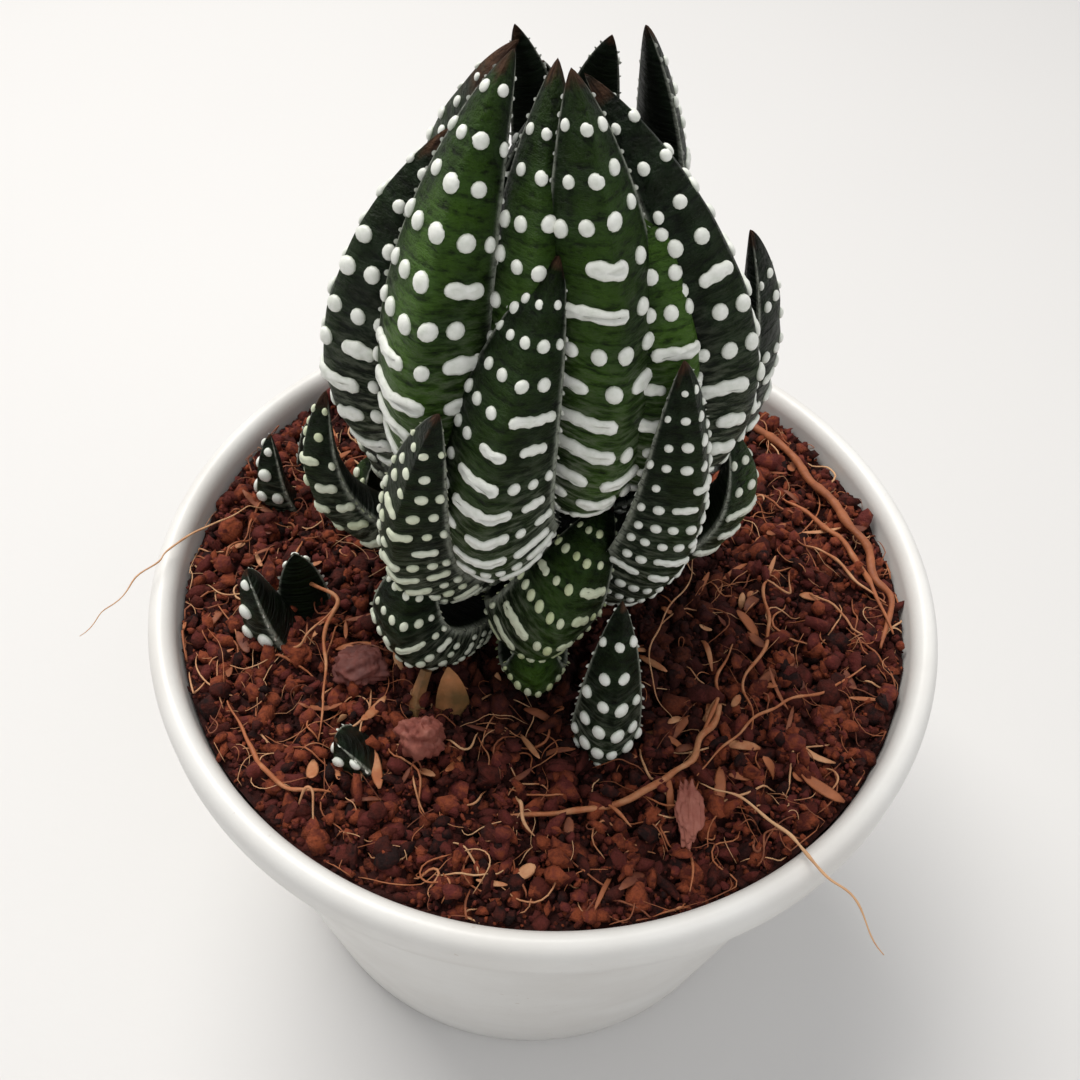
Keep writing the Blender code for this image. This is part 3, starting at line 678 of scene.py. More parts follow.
@dataclass(frozen=True)
class Leaf:
    """One leaf, in millimetres and degrees, from its own plant's axis and the soil's mean top.

    Attributes:
        node: Its CAD node.
        bearing: Direction round the plant, 0 to the front and positive to the right.
        base: Height at which it leaves the stem.
        tip: Height of its point.
        belly: How far out its middle line bulges.
        reach: How far out its point is.
        width: Its widest width.
        sway: Sideways shift of the point.
        belly_sway: Sideways shift of the belly.
        roll: Turn of its face about its length.
        root: How far out it starts.
        green: How green it is, and how brightly lit it is painted, from 0 to 1.
        dry: Length of its dried point, as a share of the leaf.
        bars: How readily its beads run together into bars, from 0 to 1.
        bead: Its beads' radius in millimetres.
        yellow: How yellow its beads are, from 0 to 1.
    """

    node: str
    bearing: float
    base: float
    tip: float
    belly: float
    reach: float
    width: float
    sway: float = 0.0
    belly_sway: float = 0.0
    roll: float = 0.0
    root: float = 2.5
    green: float = 0.25
    dry: float = 0.03
    bars: float = 0.7
    bead: float = 0.7
    yellow: float = 0.0


class LeafShape:
    """A leaf's surface as functions of the share along it and the side across it."""

    DEPTH = 0.55  # thickness outside the middle line, against the width
    HOLLOW = 0.3  # how far the inner face goes back, against that thickness
    KEEL_SIDE = 0.15  # where the keel runs across the outer face, from -1 to 1
    SWELL = 0.12 * MM  # height of the soft undulations
    CURVE_STEPS = 200

    def __init__(self, leaf: Leaf, place: Array, seed: int) -> None:
        """Settle the curve's four control points.

        Args:
            leaf: The leaf's sizes.
            place: Its plant's axis at the soil's mean top, in metres.
            seed: Which of the random undulations it has.
        """
        self.leaf = leaf
        self.seed = seed
        angle = math.radians(leaf.bearing)
        out = np.array([math.sin(angle), -math.cos(angle), 0.0])
        self.beside = np.array([math.cos(angle), math.sin(angle), 0.0])
        up = np.array([0.0, 0.0, 1.0])
        rise = leaf.tip - leaf.base
        # Half-way along, the curve takes 1/8 of each end and 3/4 of the two points between.
        swell = (leaf.belly - 0.125 * (leaf.root + leaf.reach)) / 0.75
        drift = leaf.belly_sway + 0.5 * leaf.sway
        self.knots = place + MM * np.array([
            out * leaf.root + up * leaf.base,
            out * swell + up * (leaf.base + 0.08 * rise) + self.beside * leaf.belly_sway,
            out * swell + up * (leaf.base + 0.6 * rise) + self.beside * drift,
            out * leaf.reach + up * leaf.tip + self.beside * leaf.sway,
        ])
        self.shares = np.linspace(0, 1, self.CURVE_STEPS)
        steps = np.linalg.norm(np.diff(self.middle(self.shares)[0], axis=0), axis=1)
        self.arc = np.concatenate([[0], np.cumsum(steps)])

    def middle(self, share: Array) -> tuple[Array, Array, Array]:
        """The middle line, a cubic Bezier curve, with the directions across the leaf and out of its face."""
        first, second, third, fourth = self.knots
        t = share[..., None]
        rest = 1.0 - t
        place = rest**3 * first + 3 * rest**2 * t * second + 3 * rest * t**2 * third + t**3 * fourth
        ahead = unit(rest**2 * (second - first) + 2 * rest * t * (third - second) + t**2 * (fourth - third))
        across = unit(self.beside - (ahead @ self.beside)[..., None] * ahead)
        facing = np.cross(across, ahead)
        roll = math.radians(self.leaf.roll)
        return (place, across * math.cos(roll) + facing * math.sin(roll),
                facing * math.cos(roll) - across * math.sin(roll))

    def half_width(self, share: Array) -> Array:
        """Half the width: 62% of the full width at the base, full by 28%, then (1 - t^3)^0.8."""
        base = 0.62 + 0.38 * np.clip(share / 0.28, 0, 1) ** 0.8
        return 0.5 * self.leaf.width * MM * base * np.clip(1 - share**3, 0, 1) ** 0.8

    def depth(self, share: Array) -> Array:
        """Thickness outside the middle line: 55% of full at the base, full by 25%, then (1 - t^2)^0.7."""
        base = 0.55 + 0.45 * np.clip(share / 0.25, 0, 1)
        return self.DEPTH * self.leaf.width * MM * base * np.clip(1 - share**2, 0, 1) ** 0.7

    def surface(self, share: Array, side: Array, face: Face = Face.OUTER) -> Array:
        """Places on the skin.

        The outer side is a round (1 - u^2)^0.8 that turns towards a ridge at the keel nearer the point;
        the inner side is a shallow hollow curve, 30% of the depth. Soft undulations fade at the edges.

        Args:
            share: How far along the leaf, from 0 to 1.
            side: How far across, from -1 to 1.
            face: Which face.
        """
        middle, across, facing = self.middle(share)
        spread = 1.0 - side * side
        if face is Face.OUTER:
            keel = 0.55 * np.clip((share - 0.25) / 0.6, 0, 1)
            reach = np.where(side < self.KEEL_SIDE, 1 + self.KEEL_SIDE, 1 - self.KEEL_SIDE)
            ridge = 1 - np.abs((side - self.KEEL_SIDE) / reach)
            height = (1 - keel) * np.maximum(spread, 0) ** 0.8 + keel * 1.05 * ridge
        else:
            height = -self.HOLLOW * spread
        place = middle + across * (self.half_width(share) * side)[..., None]
        place = place + facing * (self.depth(share) * height)[..., None]
        swell = ripples(place, 7.0 * MM, self.seed, 5) * self.SWELL * ramp(1 - share, 0.02, 0.25)
        return place + facing * (swell * np.maximum(spread, 0))[..., None]

    def normal(self, share: Array, side: Array) -> Array:
        """Outward direction of the outer face, from two short steps along and across it."""
        share = np.clip(share, 0.004, 0.985)
        side = np.clip(side, -0.97, 0.97)
        along = self.surface(share + 0.003, side) - self.surface(share - 0.003, side)
        over = self.surface(share, side + 0.01) - self.surface(share, side - 0.01)
        return unit(np.cross(over, along))

    def share_at(self, length: Array | float) -> Array | float:
        """Share along the leaf at a length from its base."""
        return np.interp(length, self.arc, self.shares)


class Beads:
    """The raised beads and bars on a leaf, as closed domes set on its outer face.

    Each mark holds its share along the leaf, its angle round the outer face, half the length and the radius
    of its outline, its height, and the wave of its edge. Each table gives shares along the leaf, then the
    values there.
    """

    RINGS = (1.0, 0.88, 0.62, 0.3)
    REACH = math.radians(76)  # how far round the outer face the rows run
    DOT_SIDES = 12
    BAR_SIDES = 26
    SIZES = ((0.0, 0.15, 0.38, 0.8, 1.0), (0.45, 0.7, 1.0, 0.92, 0.5))  # radius, against the leaf's beads
    PITCHES = ((0.0, 0.4, 0.75, 1.0), (2.3, 2.55, 3.1, 3.6))  # from bead to bead in a row, in radii
    JOINS = ((0.0, 0.15, 0.3, 0.55, 0.68, 0.78), (0.5, 0.8, 1.0, 0.9, 0.35, 0.0))  # share that run together
    GAPS = ((0.0, 0.12, 0.35, 1.0), (1.5, 2.1, 3.5, 3.7))  # from row to row, in millimetres
    FIRST_ROW, LAST_ROW = 0.045, 0.95  # shares of the leaf's length
    MOST_JOINED = 4
    PRESENT = 0.96  # the rest are missing from their row
    HEIGHT = 0.62  # against the radius
    TEETH = 80  # more than the longest margin has room for
    EDGE_WAVE = 0.13  # how far a bar's edge waves, against its radius
    BAR_BEND = 0.16  # how far a bar bends off its straight line, against its radius
    SINK = 0.1 * MM  # how far an outline lies under the skin
    EDGE_LIMIT = 1.52  # the furthest round that a dome reaches, in radians
    TIP_LIMIT = 0.992

    def __init__(self, shape: LeafShape, rng: np.random.Generator) -> None:
        """Lay out the rows and the teeth.

        Args:
            shape: The leaf.
            rng: Its own random numbers.
        """
        self.shape = shape
        self.rng = rng
        self.marks: list[tuple[float, ...]] = []
        self.rows()
        self.teeth()

    def round_radius(self, share: Array | float) -> Array | float:
        """Radius that turns an angle round the outer face into a distance on it."""
        share = np.asarray(share, dtype=float)
        return 0.55 * (self.shape.half_width(share) + self.shape.depth(share)) + 0.2 * MM

    def rows(self) -> None:
        """Rows across the leaf: close and merged near the base, then wide bars, then dots near the point."""
        leaf, rng = self.shape.leaf, self.rng
        length = self.shape.arc[-1]
        place = self.FIRST_ROW * length
        row = 0
        while place < self.LAST_ROW * length:
            share = float(self.shape.share_at(place))
            size, spacing, join, gap = (float(np.interp(share, *table))
                                        for table in (self.SIZES, self.PITCHES, self.JOINS, self.GAPS))
            radius = leaf.bead * MM * size
            pitch = radius * spacing
            join = leaf.bars * join
            step = pitch / float(self.round_radius(share))
            count = max(1, int(round(2 * self.REACH / step)) - row % 2)
            lean = rng.normal(0, 0.05)
            index = 0
            while index < count:
                joined = 1
                while joined < self.MOST_JOINED and index + joined < count and rng.random() < join:
                    joined += 1
                middle = (index + (joined - count) / 2) * step + rng.normal(0, 0.05) * step
                if rng.random() < self.PRESENT:
                    at = place + rng.normal(0, 0.09) * radius + lean * middle * 6 * MM
                    half = (joined - 1) / 2 * pitch * 0.93
                    big = radius * rng.uniform(0.86, 1.1) * (0.88 if joined > 1 else 1.0)
                    self.marks.append((float(self.shape.share_at(at)), middle, half, big, self.HEIGHT * big,
                                       rng.uniform(0, 6)))
                index += joined
            place += gap * (0.45 + 0.65 * leaf.bead) * rng.uniform(0.93, 1.07) * MM
            row += 1

    def teeth(self) -> None:
        """Small uneven teeth along both margins."""
        length = self.shape.arc[-1]
        for side in (-1, 1):
            gaps = self.rng.uniform(1.1, 2.5, self.TEETH) * MM
            along = 0.06 * length + np.cumsum(gaps)
            along = along[along < 0.97 * length]
            for share in self.shape.share_at(along):
                size = self.rng.uniform(0.2, 0.4) * MM * (1.0 - 0.4 * float(ramp(share, 0.6, 1.0)))
                self.marks.append((float(share), side * math.pi / 2, 0.0, size, 1.1 * size, 0.0))

    def build(self) -> tuple[Array, list[Array], Array]:
        """Domes over every mark, the dots with few sides and the bars with more.

        Returns:
            The points, the faces, and each point's tint.
        """
        marks = np.array(self.marks)
        bar = marks[:, 2] > 0
        points, faces, tints = [], [], []
        for group, sides in ((marks[~bar], self.DOT_SIDES), (marks[bar], self.BAR_SIDES)):
            if len(group):
                flat, blocks, tint = self.domes(group, sides)
                shift = sum(len(part) for part in points)
                points.append(flat)
                faces.extend(block + shift for block in blocks)
                tints.append(tint)
        return np.concatenate(points), faces, np.concatenate(tints)

    def domes(self, marks: Array, sides: int) -> tuple[Array, list[Array], Array]:
        """Domes with one number of sides.

        An outline is a stadium, followed at an even pace round its two half circles and two straights, with a
        wavy edge where beads have run together. Each ring is the outline drawn in towards its middle line, at
        the height times the square root of 1 - d^2, with d the ring's share of the radius. A point under the
        skin closes it below.

        Args:
            marks: The marks, one to a row.
            sides: How many points go round each.

        Returns:
            The points, the faces, and each point's tint.
        """
        share, angle, half, radius, tall, phase = (marks[:, i][:, None, None] for i in range(6))
        ring = np.array(self.RINGS)[None, :, None]
        cap, straight = np.pi * radius, 2 * half
        walk = (np.arange(sides) / sides) * 2 * (cap + straight) * np.ones_like(ring)
        second = walk >= cap + straight
        step = walk - np.where(second, cap + straight, 0)
        turn = np.minimum(step, cap) / radius - np.pi / 2 + np.where(second, np.pi, 0)
        centre = (half - np.maximum(step - cap, 0)) * np.where(second, -1, 1)
        wave = 1.0 + self.EDGE_WAVE * np.sin(2 * np.pi * centre / (2.3 * radius) + phase) * (half > 0)
        bend = self.BAR_BEND * radius * np.sin(centre / radius + phase) * (half > 0)
        across = centre + ring * radius * wave * np.cos(turn)
        along = ring * radius * wave * np.sin(turn) + bend
        lift = tall * wave * np.sqrt(np.clip(1 - ring**2, 0, 1)) - self.SINK * (ring == 1.0)
        rate = np.interp(share, self.shape.shares, np.gradient(self.shape.shares, self.shape.arc))
        theta = np.clip(angle + across / self.round_radius(share), -self.EDGE_LIMIT, self.EDGE_LIMIT)
        at = np.clip(share + along * rate, 0.0, self.TIP_LIMIT)
        domes = self.shape.surface(at, np.sin(theta)) + self.shape.normal(at, np.sin(theta)) * lift[..., None]
        count = len(marks)
        height = np.clip(lift / tall, 0, 1).reshape(count, -1)
        share, angle, radius, tall = (value.reshape(count) for value in (share, angle, radius, tall))
        centre = self.shape.surface(share, np.sin(angle))
        out = self.shape.normal(share, np.sin(angle))
        low = centre - out * (0.35 * radius[:, None] + self.SINK)
        peak = centre + out * tall[:, None]
        points = np.concatenate([domes.reshape(count, -1, 3), low[:, None], peak[:, None]], axis=1)
        height = np.concatenate([height, np.zeros((count, 1)), np.ones((count, 1))], axis=1)
        yellow = self.shape.leaf.yellow * self.rng.uniform(0.5, 1.0, (count, 1))
        return *repeat_faces(points, closed_faces(len(self.RINGS), sides)), tint_of(points, height, yellow)


@dataclass
class Plant:
    """A rosette or an offset: its leaves, each with a skin and its beads."""

    leaves: tuple[Leaf, ...]
    place: Array
    skin: Material
    bead: Material
    seed: int = 1
    along: int = 90
    outer: int = 38
    inner: int = 12
    last_ring: float = 0.994  # share of the leaf
    crowding: float = 0.94  # below 1, rings stand closer near the point
    halo_reach: float = 0.7 * MM
    most_off: float = 2.5 * MM  # how far a skin may be from its CAD box before it is reported

    def build(self) -> None:
        """Build every leaf."""
        for index, leaf in enumerate(self.leaves):
            shape = LeafShape(leaf, self.place, self.seed * 100 + index)
            beads = Beads(shape, np.random.default_rng(self.seed * 1000 + index))
            self.build_skin(shape, beads)
            points, faces, tint = beads.build()
            add_piece(leaf.node + "_beads", points, faces, self.bead, "leaf", tint=tint)

    def build_skin(self, shape: LeafShape, beads: Beads) -> None:
        """A closed skin: rings round the leaf, crossing the outer face one way and the inner face back.

        Args:
            shape: The leaf's surface.
            beads: Its beads, which the skin's halo follows.
        """
        leaf = shape.leaf
        share = self.last_ring * np.linspace(0, 1, self.along) ** self.crowding
        outer = np.sin(np.linspace(-np.pi / 2, np.pi / 2, self.outer))
        inner = np.sin(np.linspace(np.pi / 2, -np.pi / 2, self.inner + 2))[1:-1]
        side = np.concatenate([outer, inner])
        along = share[:, None]
        rings = np.concatenate([shape.surface(along, outer), shape.surface(along, inner, Face.INNER)], axis=1)
        ends = shape.middle(np.array([0.0, 1.0]))[0]
        points = np.concatenate([rings.reshape(-1, 3), ends])

        inside = np.arange(len(side)) >= self.outer
        edge = np.abs(side)
        rough = ripples(rings, 2.2 * MM, shape.seed + 7)
        dryness = ramp(along + 0.015 * rough, 1.0 - leaf.dry, 1.0 - 0.35 * leaf.dry)
        margin = ramp(edge, 0.93, 0.985) * ramp(along, 0.02, 0.12)
        # Painted light: the middle stretch of the leaf is painted a brighter green, as light shining through
        # it.
        glow = ramp(along, 0.02, 0.35) * ramp(1 - along, 0.0, 0.3)
        # Painted shade: the green darkens towards both margins; each leaf's own share also holds how lit it
        # is painted.
        green = np.clip(leaf.green * (0.5 + 0.7 * glow) * (1.0 - 0.85 * edge**2.2), 0, 1)
        # Painted shade: the inner face keeps a quarter of the green, as if in shadow.
        green = green * np.where(inside, 0.25, 1.0)
        tint = tint_of(rings, dryness, margin, self.halo(rings, shape, beads), green)
        tint = np.concatenate([tint, [[0, 0, 0, 0], [1, 0, 0, 0]]])
        # Painted sheen: grey wax and a painted reflection of the bright floor, strongest low on the leaf and
        # at its sides, on the outer face only.
        wax_and_sheen = ramp(along, 0.8, 0.2) * (0.4 + 0.6 * edge) * ~inside

        piece = add_piece(leaf.node + "_skin", points, closed_faces(self.along, len(side)), self.skin, "leaf",
                          (leaf.node,), tint)
        layer = piece.data.attributes.new("wax_and_sheen", "FLOAT", "POINT")
        layer.data.foreach_set("value", np.append(wax_and_sheen, [0.0, 0.0]).astype(np.float32))
        self.add_uv(piece.data, share, len(side), shape)
        low, high = (np.array(corner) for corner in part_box(leaf.node))
        off = max(np.abs(points.min(axis=0) - low).max(), np.abs(points.max(axis=0) - high).max())
        if off > self.most_off:
            log.warning("%s stands %.1f mm from its CAD box", leaf.node, off / MM)

    def halo(self, rings: Array, shape: LeafShape, beads: Beads) -> Array:
        """Nearness of each skin point to the beads: exp(-(d / reach)^2), d from the nearest one's outline."""
        marks = np.array(beads.marks)
        centres = shape.surface(marks[:, 0], np.sin(np.clip(marks[:, 1], -1.45, 1.45)))
        nearest = np.full(rings.shape[:2], 1.0)
        for block in np.array_split(np.arange(len(centres)), max(1, len(centres) // 24)):
            away = np.linalg.norm(rings[:, :, None] - centres[block], axis=-1) - marks[block, 3]
            nearest = np.minimum(nearest, away.min(axis=-1))
        return np.exp(-(np.clip(nearest, 0, None) / self.halo_reach) ** 2)

    def add_uv(self, mesh: bpy.types.Mesh, share: Array, columns: int, shape: LeafShape) -> None:
        """A map with distance round the leaf and distance along it, in centimetres.

        Args:
            mesh: The skin's mesh.
            share: The share along the leaf of each ring.
            columns: How many points are in a ring.
            shape: The leaf's surface.
        """
        centimetre = 10 * MM
        length = np.interp(share, shape.shares, shape.arc)
        girth = 3.2 * shape.leaf.width * MM / centimetre
        ups = np.concatenate([np.repeat(length, columns), [0.0, shape.arc[-1]]]) / centimetre
        arounds = np.append(np.tile(np.arange(columns) / columns, len(share)), [0.5, 0.5]) * girth
        corner = np.zeros(len(mesh.loops), dtype=np.int32)
        mesh.loops.foreach_get("vertex_index", corner)
        values = np.stack([arounds[corner], ups[corner]], axis=1)
        quads = (len(share) - 1) * columns
        quad = values[: quads * 4].reshape(-1, 4, 2)
        seam = np.arange(quads) % columns == columns - 1
        quad[seam, 1:3, 0] = girth
        mesh.uv_layers.new(name="UVMap").data.foreach_set("uv", values.astype(np.float32).ravel())


# Each leaf's green share is partly its own colour and partly how brightly lit it is painted.
ROSETTE = (
    Leaf("leaf_heart_right", 40, 42, 64, 6.0, 2.5, 6.5, bars=0.2),
    Leaf("leaf_heart_left", 220, 40, 66, 6.5, 2.5, 6.5, bars=0.2),
    Leaf("leaf_crown_back", 190, 36, 73, 11.0, 4.0, 8.0, sway=3.5, belly_sway=-3, green=0.3),
    Leaf("leaf_crown_back_right", 165, 34, 73, 12.5, 3.5, 9.5, sway=-3.5, belly_sway=3.5, green=0.35),
    Leaf("leaf_crown_left", -126, 27, 72, 14.5, 4.5, 10.5, dry=0.14),
    Leaf("leaf_crown_front", -7, 29, 75, 12.0, 6.0, 12.5, sway=0.7, green=0.6, bars=0.1, bead=0.8),
    Leaf("leaf_crown_front_right", 46, 30, 71, 15.8, 5.0, 10.5, sway=-1, green=1.0, bars=0.5, bead=0.75),
    Leaf("leaf_crown_right", 118, 29, 73.5, 12.5, 8.0, 11.0, belly_sway=2, roll=-15, green=0.12),
    Leaf("leaf_upper_front_left", -31, 29, 75.0, 15.5, 6.0, 14.0, sway=-0.5, belly_sway=-2.5, roll=-12,
         green=0.9, bars=0.75, bead=0.92),
    Leaf("leaf_upper_front_right", 20, 28, 76.0, 12.5, 9.2, 14.5, sway=-2.2, belly_sway=2.8, roll=6,
         green=0.6, bars=0.85, bead=0.9),
    Leaf("leaf_upper_right", 67, 28, 73.5, 17.5, 4.0, 13.0, sway=-4, belly_sway=0.5, roll=10, green=0.1,
         bars=0.6, bead=0.85),
    Leaf("leaf_upper_left", -70, 28, 67.0, 17.5, 9.3, 13.0, green=0.15, bead=0.9, bars=0.5, dry=0.05),
    Leaf("leaf_upper_back", 178, 26, 68.0, 16.5, 7.0, 12.5, sway=2, green=0.4),
    Leaf("leaf_upper_back_left", -125, 22, 61.0, 18.0, 10.5, 12.5, sway=2, green=0.3),
    Leaf("leaf_middle_front", -19, 21, 62.0, 17.0, 12.0, 14.0, sway=5.5, roll=-8, green=0.3, bead=0.75,
         bars=0.8),
    Leaf("leaf_middle_back_right", 140, 20, 60.0, 18.5, 13.0, 12.5, green=0.35),
    Leaf("leaf_middle_right", 100, 17, 56.0, 20.5, 19.0, 11.5, sway=-2.5, green=0.1),
    Leaf("leaf_middle_back", 204, 15, 51.0, 19.5, 14.5, 12.5, green=0.35),
    Leaf("leaf_lower_front_right", 50, 9, 54.0, 17.5, 20.3, 12.0, sway=-4.5, belly_sway=2, roll=14,
         green=0.15, bars=0.45, bead=0.68),
    Leaf("leaf_lower_front_left", -48, 10, 51.0, 19.0, 21.0, 11.5, sway=11.0, roll=-12, green=0.12,
         yellow=0.45, bars=0.35),
    Leaf("leaf_lower_left", -80, 10, 36.0, 22.5, 23.5, 9.5, sway=0.5, roll=-22, green=0.12, yellow=0.6,
         bars=0.7, dry=0.07),
    Leaf("leaf_lower_back_left", -104, 11, 47.0, 18.5, 15.0, 12.0, green=0.3, yellow=0.3),
    Leaf("leaf_lower_right", 84, 9.5, 32.5, 21.0, 21.0, 10.0, green=0.4, yellow=0.2),
    Leaf("leaf_lower_back_right", 124, 9, 35.0, 21.0, 20.0, 11.0, green=0.35, yellow=0.2),
    Leaf("leaf_lower_back", 163, 8, 34.0, 20.5, 17.0, 11.0, green=0.35, yellow=0.3),
    Leaf("leaf_collar_front", 0, 7.0, 27.0, 15.0, 9.0, 13.0, sway=8.5, roll=6, green=0.4, yellow=0.8,
         bars=0.4, bead=0.6),
    Leaf("leaf_collar_front_left", -42, 1.5, 22.5, 20.5, 17.5, 11.0, sway=1.0, roll=-30, green=0.08,
         yellow=0.35, bars=0.45, bead=0.6, dry=0.14),
    Leaf("leaf_collar_front_low", 4, 1.0, 10.0, 17.0, 16.0, 9.0, green=0.7, yellow=0.9, bars=0.3, bead=0.55),
    Leaf("leaf_collar_left", -102, 2.5, 17.0, 20.0, 21.0, 9.5, green=0.5, yellow=0.6),
    Leaf("leaf_collar_back", -145, 4.0, 26.0, 20.0, 18.5, 11.5, green=0.3, yellow=0.5),
    Leaf("leaf_collar_right", 108, 2.5, 17.5, 19.5, 19.5, 9.5, green=0.3, yellow=0.4),
)

# Bearing, distance from the pot's wall in millimetres, and leaves.
OFFSETS = (
    (22.0, 25.5, (Leaf("offset_front_leaf", 0, -3.0, 22.0, 2.3, -1.5, 8.5, root=0.5, green=0.1, bars=0.05,
                       bead=0.9, dry=0.02),)),
    (-72.0, 16.0, (Leaf("offset_left_leaf_1", -75, -3.0, 12.0, 4.0, 6.0, 9.0, root=0.5, green=0.1, bars=0.3,
                        bead=1.1),
                   Leaf("offset_left_leaf_2", 200, -3.0, 9.5, 3.5, 3.5, 7.0, root=0.5, green=0.3, bars=0.2))),
    (-110.0, 10.0, (Leaf("offset_back_left_leaf_1", -60, -3.0, 12.0, 3.0, 3.0, 7.5, root=0.5, green=0.1,
                         bead=1.0, bars=0.1),
                    Leaf("offset_back_left_leaf_2", 156, -3.0, 10.0, 3.8, 4.2, 7.5, root=0.5, green=0.1))),
    (-34.0, 15.5, (Leaf("offset_corner_leaf", -60, -1.5, 5.0, 2.8, 5.5, 8.0, root=0.5, green=0.1, bead=0.8,
                        bars=0.0),)),
)


# ---- Soil ----------------------------------------------------------------------------------------


@dataclass
class Soil:
    """The coir soil: its bed, its crumbs, and the loose fibres and flakes on it."""

    pot: Pot
    top: float
    axis: tuple[float, float]
    earth: Material
    fibre: Material
    ripple: float = 0.5 * MM
    dip: float = 1.2 * MM
    dip_radius: float = 20.0 * MM
    gap: float = 0.35 * MM
    bed_segments: int = 260
    bed_rings: int = 110
    bed_drop: float = 0.9 * MM
    crumb_pieces: int = 5
    crumbs: int = 4400
    fibres: int = 620
    flakes: int = 170
    flake_slope: float = 0.35
    seed: int = 40

    @property
    def radius(self) -> float:
        """The soil's radius at its top, a gap inside the pot's wall."""
        return float(self.pot.inner(self.top)) - self.gap

    def height(self, x: Array, y: Array) -> Array:
        """Height of the top: two soft ripples, less a hollow round the plant."""
        wave = np.sin(x / (5.1 * MM) + 0.8) * np.cos(y / (6.3 * MM)) + 0.6 * np.sin((x - y) / (3.7 * MM))
        away = ((x - self.axis[0]) ** 2 + (y - self.axis[1]) ** 2) / self.dip_radius**2
        return self.top + self.ripple * wave / 1.6 - self.dip * np.exp(-away)

    def place(self, bearing: Array | float, wall: Array | float) -> tuple[Array, Array]:
        """Place on the soil, from bearings in degrees and distances from the pot's wall in millimetres."""
        return around(self.radius - np.asarray(wall, dtype=float) * MM, np.radians(bearing))

    def dampness_and_shadow(self, x: Array, y: Array) -> Array:
        """How damp and dark the soil is, with the plant's shadow painted in: most in the hollow round the
        plant, and to its right front.
        """
        away = np.hypot(x - self.axis[0] - 4 * MM, y - self.axis[1] + 3 * MM)
        return 0.72 * ramp(away, 31 * MM, 17 * MM)

    def lumps(self, x: Array, y: Array) -> Array:
        """Clods and hollows: noise at 6 mm and at 2.5 mm, fading out at the wall."""
        flat = places(x, y)
        fade = ramp(self.radius - np.hypot(x, y), 0.0, 4 * MM)
        clods, hollows = ripples(flat, 6 * MM, self.seed + 8), ripples(flat, 2.5 * MM, self.seed)
        return (0.75 * clods + 0.45 * hollows) * MM * fade

    def build_bed(self) -> None:
        """The soil's closed body: a rough disc on top, and its sides down to the pot's floor.

        The top is the height function with three sizes of noise, the two larger ones fading at the wall.
        """
        out = self.radius * np.sqrt(np.linspace(1.0, 0.0004, self.bed_rings))
        disc = turned(out, 0.0, self.bed_segments)
        x, y = disc[..., 0], disc[..., 1]
        rough = self.lumps(x, y) + 0.35 * MM * ripples(disc, 1.3 * MM, self.seed + 1)
        disc[..., 2] = self.height(x, y) + rough - self.bed_drop
        low = self.pot.groove_depth + self.pot.floor + self.gap
        side_z = np.linspace(low, self.top - 2.2 * MM, 6)
        sides = turned(self.pot.inner(side_z) - self.gap, side_z, self.bed_segments)
        rings = np.concatenate([sides, disc])
        points = np.concatenate([rings.reshape(-1, 3), [[0, 0, low], disc[-1].mean(axis=0)]])
        faces = closed_faces(len(rings), self.bed_segments)
        # The bed's low lift paints it dark, as shade under the crumbs.
        add_piece("soil_bed", points, faces, self.earth, "soil", ("soil",), tint_of(points, 0.22, 0.25))

    def build_crumbs(self) -> None:
        """Crumbs heaped over the bed, in several pieces.

        A crumb is a ball of three rings of six points, drawn out along three turned axes and pushed in and
        out by a few waves into an angular lump; small ones are much commoner than large ones.
        """
        rng = np.random.default_rng(self.seed + 2)
        rows, sides, count = 3, 6, self.crumbs
        lump = ball(rows, sides, twist=0.5)
        faces = closed_faces(rows, sides, reverse=True)
        for piece in range(self.crumb_pieces):
            size = (0.2 + 0.95 * rng.random(count) ** 4) * MM
            out = self.radius * np.sqrt(rng.random(count)) - size
            x, y = around(out, rng.uniform(0, 2 * np.pi, count))
            z = self.height(x, y) + self.lumps(x, y) + rng.uniform(-0.9, 0.9, count) * size - 0.75 * MM
            z = z + 0.8 * MM * rng.random(count) ** 3
            waves = rng.normal(size=(count, 3, 2)) * 2.4
            phase = rng.uniform(0, 2 * np.pi, (count, 1, 2))
            bumps = np.sin(np.einsum("pk,nkw->npw", lump, waves) + phase).sum(axis=2, keepdims=True)
            stretch = np.exp(rng.normal(0, 0.33, (count, 1, 3)))
            spin = np.linalg.qr(rng.normal(size=(count, 3, 3)))[0]
            spin *= np.sign(np.linalg.det(spin))[:, None, None]
            body = np.einsum("npk,nkj->npj", lump * (1 + 0.24 * bumps) * stretch, spin) * size[:, None, None]
            points = body + places(x, y, z)[:, None]
            chance = rng.random((count, 1)) ** 0.9
            across, deep, up = np.moveaxis(points, -1, 0)
            # Height over the bed's top, which the earth finish turns into painted shade between the crumbs.
            lift = ramp(up - self.height(across, deep), -2.2 * MM, 0.5 * MM)
            tint = tint_of(points, chance, lift, self.dampness_and_shadow(across, deep))
            add_piece(f"soil_crumbs_{piece + 1}", *repeat_faces(points, faces), self.earth, "soil", tint=tint)

